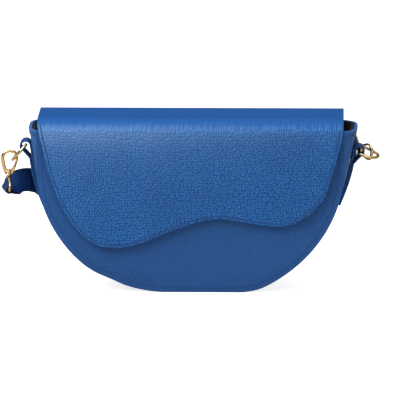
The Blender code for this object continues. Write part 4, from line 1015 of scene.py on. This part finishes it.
gold = plated("pale_gold_plating", GOLD, GOLD_DEEP, 0.1)
steel = plated("nickelled_steel", STEEL, STEEL_DEEP, 0.25)


def turned(name, profile, foot, axis, finish, sides=40):
    """A turned piece: (radius, height) pairs in mm from its foot along an axis, closed at both ends."""
    axis = Vector(axis).normalized()
    first = axis.orthogonal().normalized()
    second = axis.cross(first)
    foot = Vector(foot)
    rings = [circle(foot + axis * high * MM, first, second, r * MM, sides) for r, high in profile]
    made = add_mesh(name, *tube(rings), finish)
    select_only(made)
    bpy.ops.object.shade_smooth_by_angle(angle=math.radians(42))
    return made


def rounded_disc(radius, thick, soft):
    """A disc's profile with softened edges, in mm."""
    near = radius - soft * 0.3
    return [(radius - soft, 0), (near, soft * 0.3), (radius, soft), (radius, thick - soft),
            (near, thick - soft * 0.3), (radius - soft, thick)]


SOCKET = rounded_disc(8, 1.2, 0.35) + [
    (5.4, 1.2), (5.1, 1.1), (4.9, 1.2), (4.2, 1.2), (3.8, 1.05), (3.6, 0.8), (3.6, 0.45), (0.01, 0.4),
]
STUD = rounded_disc(7, 0.3, 0.12) + [(2.4, 0.3), (1.8, 0.35), (1.8, 0.6), (1.55, 0.78), (0.01, 0.8)]
low, high = (Vector(c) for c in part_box("snap_socket"))
middle = (low + high) / 2
socket = turned("snap_socket_cup", SOCKET, (middle.x, high.y, middle.z), (0, -1, 0), gold)
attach(socket, "bag")
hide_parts("snap_socket")
low, high = (Vector(c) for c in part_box("snap_stud"))
stud = turned("snap_stud_disc", STUD, (middle.x, low.y, middle.z), (0, 1, 0), gold)
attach(stud, "flap")
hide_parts("snap_stud")
for name in ("snap_socket_washer", "snap_stud_washer"):
    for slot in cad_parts[name].material_slots:
        slot.material = steel


# Board
# A strip of bonded leather board is glued inside the gusset and keeps the half moon's shape. It
# ends below the rim, where the gusset's hide is turned in over it.

BOARD_DARK, BOARD_LIGHT = "#5a3d28", "#8c6a4a"
BOARD_IN = 2.1 * MM
BOARD_T = 0.8 * MM
BOARD_HALF = 32.4 * MM
BOARD_LOWER = 6 * MM


def leather_board():
    """Bonded leather board, the stiffener: pressed brown fibres, dry and matt, with darker flecks."""
    paint, tree = new_paint("bonded_leather_board")
    place = node(tree, "TexCoord")
    fibres = node(tree, "TexNoise", [(place, "Object", "Vector")],
                  {"Scale": 700.0, "Detail": 5.0, "Roughness": 0.7})
    bump = node(tree, "Bump", [(fibres, "Fac", "Height")], {"Strength": 0.4, "Distance": 0.2 * MM})
    colour = node(tree, "Mix", [(fibres, "Fac", "Factor")],
                  {6: linear(BOARD_DARK), 7: linear(BOARD_LIGHT)}, data_type="RGBA")
    board = node(tree, "BsdfPrincipled", [(colour, 2, "Base Color"), (bump, 0, "Normal")], {"Roughness": 0.9})
    node(tree, "OutputMaterial", [(board, 0, "Surface")])
    return paint


stiffener = strip_band("stiffener_band", BOARD_IN, BOARD_T, BOARD_HALF, leather_board(), lower=BOARD_LOWER)
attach(stiffener, "bag")
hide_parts("gusset_stiffener")


# Tabs
# A leather strip on each ear, folded over the ring's bar and sewn down on itself, its lower end cut
# square. Two layers, stitched along both edges, with painted edges.

TAB_HALF = 9 * MM
TAB_T = 1.6 * MM
TAB_OFF = 0.6 * MM
TAB_LOW_Z = 71 * MM
LOOP_R = 5.2 * MM
LOOP_Z = {-1: 121.2 * MM, 1: 117.5 * MM}
LOOP_TURN = math.radians(250)
TAB_LAYER_GAP = 0.3 * MM
TAB_ROW_OUT = 7.2 * MM
TAB_ROW_FOOT = 1.6 * MM
TAB_FAT = 0.24 * MM
RIM_HALF = 1.5 * MM
RIM_THICK = 1.3 * MM
RIM_DOWN = 0.2 * MM
# The ear rim is painted paler than the hide: a painted highlight where light catches its top edge
RIM_HIGHLIGHT_BLUE, RIM_HIGHLIGHT_CREASE = "#3f6fae", "#2f5b98"
UP = Vector((0, 0, 1))
rim_highlight_hide = leather("rim_painted_highlight", RIM_HIGHLIGHT_BLUE, RIM_HIGHLIGHT_CREASE, grain=1.5 * MM, relief=0.15, rough=0.38)
SOFT_QUARTER = ((0.0, 1.0), (0.5, 1.0), (0.9, 0.98), (0.97, 0.8), (1.0, 0.35))


def ribbon(name, centres, sides, normals, half, thick, finish, closed=False):
    """A band with softly rounded edges along a line, its width on each place's side direction."""
    section = whole_section(SOFT_QUARTER)
    rings = []
    for p, side, normal in zip(centres, sides, normals):
        rings.append([p + side * u * half + normal * n * thick / 2 for u, n in section])
    made = add_mesh(name, *tube(rings, closed, flipped=True), finish)
    select_only(made)
    bpy.ops.object.mode_set(mode="EDIT")
    bpy.ops.mesh.select_all(action="SELECT")
    bpy.ops.mesh.normals_make_consistent(inside=False)
    bpy.ops.object.mode_set(mode="OBJECT")
    bpy.ops.object.shade_smooth_by_angle(angle=math.radians(50))
    return made


def gusset_face(z, side):
    """How far out the gusset's face is at mid depth, on the left (-1) or right (1)."""
    below = max(0.0, CENTRE_Z - z)
    return HALF_WIDTH * math.sqrt(max(0.0, 1 - (below / DROP) ** 2)) + bulge(z, 0, side)


# The gusset's top edge is skived and turned in over the board, which leaves a rounded leather rim
for side, word in ((-1, "left"), (1, "right")):
    line = []
    for i in range(41):
        y = GUSSET_HALF * (i / 20 - 1)
        out = HALF_WIDTH + bulge(RIM_Z, y, side) + HEM_TURN - RIM_HALF
        line.append(Vector((side * out, y, RIM_Z - RIM_DOWN)))
    sides = [heading(line, i).cross(UP).normalized() for i in range(len(line))]
    rim_edge = ribbon("ear_rim_" + word, line, sides, [UP] * len(line), RIM_HALF, RIM_THICK, rim_highlight_hide)
    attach(rim_edge, "bag")


tab_hide = leather("tab_cowhide", BODY_BLUE, BODY_CREASE, grain=2.0 * MM, relief=0.3, rough=0.4)
for side, word in ((-1, "left"), (1, "right")):
    # The line of one layer's middle, drawn for the right side: up, round the bar and down outside
    loop_z = LOOP_Z[side]
    middle = Vector((gusset_face(loop_z, side) + TAB_OFF + LOOP_R, 0, loop_z))
    r = LOOP_R - TAB_T / 2
    line = []
    top, low = loop_z - LOOP_R / 2, loop_z - 2 * LOOP_R
    for i in range(24):
        z = TAB_LOW_Z + (top - TAB_LOW_Z) * i / 24
        line.append(Vector((gusset_face(z, side) + TAB_OFF + TAB_T / 2, 0, z)))
    for i in range(31):
        angle = math.pi - LOOP_TURN * i / 30
        line.append(middle + Vector((r * math.cos(angle), 0, r * math.sin(angle))))
    for i in range(25):
        z = low + (TAB_LOW_Z - low) * i / 24
        line.append(Vector((gusset_face(z, side) + TAB_OFF + TAB_LAYER_GAP + 1.5 * TAB_T, 0, z)))
    line = smooth_line(line, 2)
    along = [heading(line, i) for i in range(len(line))]
    normals = [Vector((-side * way.z, 0, way.x)) for way in along]
    centres = [Vector((side * p.x, p.y, p.z)) for p in line]
    sides = [Vector((0, 1, 0))] * len(line)
    tab = ribbon("tab_strip_" + word, centres, sides, normals, TAB_HALF, TAB_T, tab_hide)
    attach(tab, "bag")
    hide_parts("tab_" + word)
    face = [(p + n * TAB_T * 0.5, n) for p, n in zip(centres, normals)][-52:]
    tab_rows = [[(p + Vector((0, y, 0)), n) for p, n in face] for y in (-TAB_ROW_OUT, TAB_ROW_OUT)]
    foot, out = face[-2]
    tab_rows.append([(foot + Vector((0, y * MM, TAB_ROW_FOOT)), out) for y in range(-7, 8)])
    tab_seam = thread("tab_stitches_" + word, tab_rows, thread_paint, SEAM_PITCH, TAB_FAT)
    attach(tab_seam, "bag")


# Rings, hooks and eyes
# Cast zinc, polished and plated pale gold. Each D-ring hangs in its tab; a trigger snap hook with a
# spring gate clips to it, and turns on the shank of a wire eye that the strap is folded round.

RING_WIRE = 1.35 * MM
RING_HALF = 11.6 * MM
RING_REACH = 17.0 * MM
HOOK_WIRE = 1.5 * MM
HOOK_HALF = 6.1 * MM
HOOK_WIDE = 27 * MM
HOOK_TOP = 32.6 * MM
NECK = 14.5 * MM
NECK_HALF = 2.6 * MM
GATE_FOOT = 18.2 * MM
GATE_TIP = 27.6 * MM
GATE_WIRE = 1.1 * MM
EYE_HALF = 11.8 * MM
EYE_APEX = 10.2 * MM
EYE_TIP_HALF = 1.2 * MM
LOOP_WIRE = 1.05 * MM
NOSE_GAP = 0.6 * MM
CHEEK_GAP = 0.65 * MM
CHEEK_WIDE, CHEEK_T = 1.25 * MM, 0.7 * MM
CHEEK_BACK, CHEEK_PAST, BRIDGE_BACK = 0.8 * MM, 1.2 * MM, 1.5 * MM
BRIDGE_WIDE, BRIDGE_T = 1.7 * MM, 1.9 * MM
COLLAR_AT = 11.6 * MM
PIN_PAST = 1.25 * MM
BOSS_HALF = 1.1 * MM
WIRE_STEPS, WIRE_SIDES = 5, 18
# Turned profiles as (radius, height) in mm, and the gate's wire as shares of its thickness
COLLAR = (
    (1.7, 0), (2.5, 0.05), (2.9, 0.5), (3.0, 1.0), (2.6, 1.5), (2.6, 1.8),
    (3.1, 2.3), (3.1, 3.0), (2.8, 3.6), (2.3, 3.9), (1.6, 3.9),
)
SHANK = ((1.9, -0.6), (1.9, 0.3), (1.2, 0.9), (1.2, 5.8), (2.0, 5.85), (2.1, 6.2), (1.7, 6.6))
RIVET_HEAD = ((0.3, -0.2), (0.65, -0.1), (0.75, 0.05), (0.5, 0.1))
GATE_TAPER = (1.0, 1.0, 0.9, 0.85, 0.85, 0.88, 0.95, 1.0, 1.05)


def wire(name, spots, radius, finish, closed=False):
    """Round wire along a soft curve, with domed ends where it is open. It may have a radius for each spot."""
    line = smooth_line([Vector(p) for p in spots], WIRE_STEPS, closed)
    radii = radius if isinstance(radius, list) else [radius] * (len(spots) + 1)
    frames, side = [], None
    for i in range(len(line)):
        along = heading(line, i, closed)
        side = (along.orthogonal() if side is None else side - along * side.dot(along)).normalized()
        frames.append((along, side))
    twist = 0.0
    if closed:
        along, start = frames[0]
        end = (frames[-1][1] - along * frames[-1][1].dot(along)).normalized()
        twist = math.atan2(end.cross(start).dot(along), end.dot(start))
    rings = []
    for i, (place, (along, side)) in enumerate(zip(line, frames)):
        turn = Matrix.Rotation(twist * i / len(line), 3, along)
        here = i / WIRE_STEPS
        low = min(int(here), len(radii) - 1)
        high = min(low + 1, len(radii) - 1)
        rings.append((place, along, turn @ side, radii[low] + (radii[high] - radii[low]) * (here - low)))
    if not closed:
        for end, way in ((0, -1), (-1, 1)):
            place, along, side, r = rings[end]
            dome = []
            for angle in (0.5, 0.95, 1.3, 1.52):
                dome.append((place + along * way * r * math.sin(angle), along, side, r * math.cos(angle)))
            rings = dome[::-1] + rings if end == 0 else rings + dome
    skin = [circle(place, side, along.cross(side), r, WIRE_SIDES) for place, along, side, r in rings]
    return add_mesh(name, *tube(skin, closed), finish)


def joined(name, parts):
    """Several castings as one piece."""
    select_only(*parts)
    bpy.ops.object.join()
    parts[0].name = parts[0].data.name = name
    return parts[0]


def plate(name, start, end, across, through, wide, thick):
    """A small flat cast lug with rounded edges between two places."""
    centres = [start.lerp(end, i / 6) for i in range(7)]
    return ribbon(name, centres, [across] * 7, [through] * 7, wide, thick, gold)


def placed(origin, first, second, pairs):
    """A flat line of pairs of lengths, laid out from an origin along two directions."""
    return [origin + first * u + second * v for u, v in pairs]


def half_at(height):
    """Half the claw's width at a height over the eye's bar."""
    if height >= HOOK_WIDE:
        rise = (height - HOOK_WIDE) / (HOOK_TOP - HOOK_WIDE)
        return HOOK_HALF * math.sqrt(max(0.0, 1 - rise * rise))
    fall = (HOOK_WIDE - height) / (HOOK_WIDE - NECK)
    return HOOK_HALF - (HOOK_HALF - NECK_HALF) * (1 - math.cos(fall * math.pi / 2))


# The D-ring's line from its bar, as (along the bar, away from it)
corner = 2 * RING_WIRE
ring_line = [(-RING_HALF + corner / 3, corner / 3), (-RING_HALF + corner, 0), (-RING_HALF / 3, 0)]
ring_line += [(-along, out) for along, out in reversed(ring_line)] + [(RING_HALF, corner)]
for i in range(17):
    angle = math.pi * (0.5 - i / 16)
    ring_line.append((RING_HALF * math.sin(angle), RING_REACH - RING_HALF + RING_HALF * math.cos(angle)))
ring_line.append((-RING_HALF, corner))

# The hook's claw and gate from the eye's bar, as (towards the gate, up), and the eye's loop as (across, up)
nose = math.asin((GATE_TIP + NOSE_GAP + GATE_WIRE - HOOK_WIDE) / (HOOK_TOP - HOOK_WIDE))
claw_line, claw_wires = [], []
for i in range(21):
    angle = nose + (math.pi - nose) * i / 20
    claw_line.append((HOOK_HALF * math.cos(angle), HOOK_WIDE + (HOOK_TOP - HOOK_WIDE) * math.sin(angle)))
    claw_wires.append(HOOK_WIRE * (0.78 + 0.22 * min(i / 6, 1.0)))
for i in range(1, 11):
    height = HOOK_WIDE + (NECK - HOOK_WIDE) * i / 10
    claw_line.append((-half_at(height), height))
    claw_wires.append(HOOK_WIRE * (1 + 0.12 * i / 10))
gate_heights = [GATE_FOOT + (GATE_TIP - GATE_FOOT) * i / 8 for i in range(9)]
gate_line = [(half_at(height), height) for height in gate_heights]
rise = [(EYE_HALF * across, EYE_APEX * high) for across, high in ((1.0, 0.1), (1.0, 0.45), (0.58, 0.8))]
rise.append((EYE_TIP_HALF, EYE_APEX))
eye_line = [(EYE_HALF * share, 0.0) for share in (-0.9, -0.6, -0.3, 0.0, 0.3, 0.6, 0.9)]
eye_line += rise + [(-across, high) for across, high in reversed(rise)]
pin_half = GATE_WIRE + PIN_PAST
RIVET = RIVET_HEAD + tuple((radius, 2 * pin_half / MM - high) for radius, high in reversed(RIVET_HEAD))
# Each side's ring: its bar's middle in mm, its reach and its bar; then its eye, shank, claw side and bar
HANG = {
    "left": ((-141.41, -0.04, 121.04), (-0.66, -0.163, -0.733), (-0.06, 0.985, -0.163),
             EYE_LEFT, AXIS_LEFT, (1, 0, 0), BAR_LEFT),
    "right": ((143.17, 0.01, 117.42), (0.96, 0.045, -0.285), (0, 0.988, 0.156),
              EYE_RIGHT, AXIS_RIGHT, (0, 0, 1), BAR_RIGHT),
}
for word, (pivot, reach, bar, eye, shank_up, claw_side, eye_bar) in HANG.items():
    reach = Vector(reach).normalized()
    bar = Vector(bar)
    bar = (bar - reach * bar.dot(reach)).normalized()
    spots = placed(Vector(pivot) * MM, bar, reach, ring_line)
    ring = wire("d_ring_" + word, spots, RING_WIRE, gold, closed=True)
    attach(ring, "ring_" + word)
    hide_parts("ring_" + word)

    mouth = Vector(claw_side)
    mouth = (mouth - shank_up * mouth.dot(shank_up)).normalized()
    through = mouth.cross(shank_up)
    claw = wire("claw", placed(eye, mouth, shank_up, claw_line), claw_wires, gold)
    collar = turned("collar", COLLAR, eye + shank_up * COLLAR_AT, shank_up, gold, 32)
    foot = eye + mouth * half_at(GATE_FOOT) + shank_up * GATE_FOOT
    root = eye + mouth * NECK_HALF + shank_up * NECK
    lean = (foot - root).normalized()
    across = lean.cross(through)
    parts = [claw, collar]
    for turn in (-1, 1):
        shift = through * turn * (GATE_WIRE + CHEEK_GAP)
        start, end = root - lean * CHEEK_BACK + shift, foot + lean * CHEEK_PAST + shift
        parts.append(plate("cheek", start, end, across, through, CHEEK_WIDE, CHEEK_T))
    start, end = root - lean * BRIDGE_BACK, root.lerp(foot, 0.4)
    parts.append(plate("bridge", start, end, through, across, BRIDGE_WIDE, BRIDGE_T))
    hook = joined("hook_casting_" + word, parts)
    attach(hook, "hook_" + word)
    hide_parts("hook_" + word)
    pin = turned("gate_rivet_" + word, RIVET, foot - through * pin_half, through, gold, 20)
    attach(pin, "hook_" + word)
    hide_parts("gate_pin_" + word)
    gate_wires = [GATE_WIRE * share for share in GATE_TAPER]
    gate_wire = wire("gate", placed(eye, mouth, shank_up, gate_line), gate_wires, gold)
    boss_disc = rounded_disc(1.35, 2 * BOSS_HALF / MM, 0.25)
    boss = turned("boss", boss_disc, foot - through * BOSS_HALF, through, gold, 28)
    gate = joined("spring_gate_" + word, [gate_wire, boss])
    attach(gate, "gate_" + word)
    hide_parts("gate_" + word)

    cross = (eye_bar - shank_up * eye_bar.dot(shank_up)).normalized()
    loop = wire("loop", placed(eye, cross, shank_up, eye_line), LOOP_WIRE, gold, closed=True)
    shank = turned("shank", SHANK, eye + shank_up * EYE_APEX, shank_up, gold, 28)
    swivel = joined("swivel_eye_" + word, [loop, shank])
    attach(swivel, "eye_" + word)
    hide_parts("eye_" + word)


# Buckle and keepers
# A small plated frame and prong behind the bag take up the strap's length; two narrow leather
# loops, one sewn in and one sliding, hold its tail.

FRAME_HALF = 12.6 * MM
FRONT_N = STRAP_THICK + CLEAR + FRAME_WIRE
PRONG_WIRE = 0.85 * MM
KEEPER_HALF = 4 * MM
KEEPER_T = 1.2 * MM
PRONG_OFF = 0.8 * MM
PRONG_PAST = 1.8 * MM
KEEPER_SOFT = 1.2 * MM
corner = 2 * FRAME_WIRE
soft = 0.3 * corner
# The frame's half line from the bar, as (along the strap, out of it, across), which the other half mirrors
half_frame = [
    (0, 0, 0.33 * FRAME_HALF),
    (0, 0, FRAME_HALF - corner),
    (-soft, FRONT_N * 0.05, FRAME_HALF - soft),
    (-corner, FRONT_N * corner / FRAME_LONG, FRAME_HALF),
    (-FRAME_LONG / 2, FRONT_N / 2, FRAME_HALF),
    (-FRAME_LONG + corner, FRONT_N * (1 - corner / FRAME_LONG), FRAME_HALF),
    (-FRAME_LONG + soft, FRONT_N * 0.95, FRAME_HALF - soft),
    (-FRAME_LONG, FRONT_N, FRAME_HALF - corner),
    (-FRAME_LONG, FRONT_N, 0.33 * FRAME_HALF),
]
spots = [BUCKLE + Vector((along, out, -wide)) for along, out, wide in half_frame]
spots += [BUCKLE + Vector((along, out, wide)) for along, out, wide in reversed(half_frame)]
buckle = wire("buckle_frame_wire", spots, FRAME_WIRE, gold, closed=True)
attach(buckle, "buckle_frame")
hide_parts("buckle_frame")
coil = FRAME_WIRE + CLEAR + PRONG_OFF
tip = FRONT_N + coil
spots = []
for i in range(13):
    angle = math.radians(-150 + 240 * i / 12)
    spots.append(BUCKLE + Vector((coil * math.cos(angle), coil * math.sin(angle), 0)))
spots.append(BUCKLE + Vector((-FRAME_LONG / 2, (coil + tip) / 2, 0)))
spots.append(BUCKLE + Vector((-FRAME_LONG - PRONG_PAST, tip, 0)))
prong = wire("buckle_tongue", spots, [PRONG_WIRE] * 14 + [PRONG_WIRE * 0.7], gold)
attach(prong, "buckle_prong")
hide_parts("buckle_prong")
for name, body in (("keeper_fixed", "bag"), ("keeper_sliding", "keeper_sliding")):
    low, high = (Vector(c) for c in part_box(name))
    middle = (low + high) / 2
    half_n = (high.y - low.y - KEEPER_T) / 2 - KEEPER_SOFT
    half_w = (high.z - low.z - KEEPER_T) / 2 - KEEPER_SOFT
    line, normals = [], []
    for quarter, (n_side, w_side) in enumerate(((1, 1), (-1, 1), (-1, -1), (1, -1))):
        for i in range(7):
            angle = math.pi / 2 * (quarter + i / 6)
            normal = Vector((0, math.cos(angle), math.sin(angle)))
            line.append(middle + Vector((0, n_side * half_n, w_side * half_w)) + normal * KEEPER_SOFT)
            normals.append(normal)
    sides = [Vector((1, 0, 0))] * len(line)
    keeper = ribbon(name + "_loop", line, sides, normals, KEEPER_HALF, KEEPER_T, tab_hide, closed=True)
    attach(keeper, body)
    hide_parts(name)
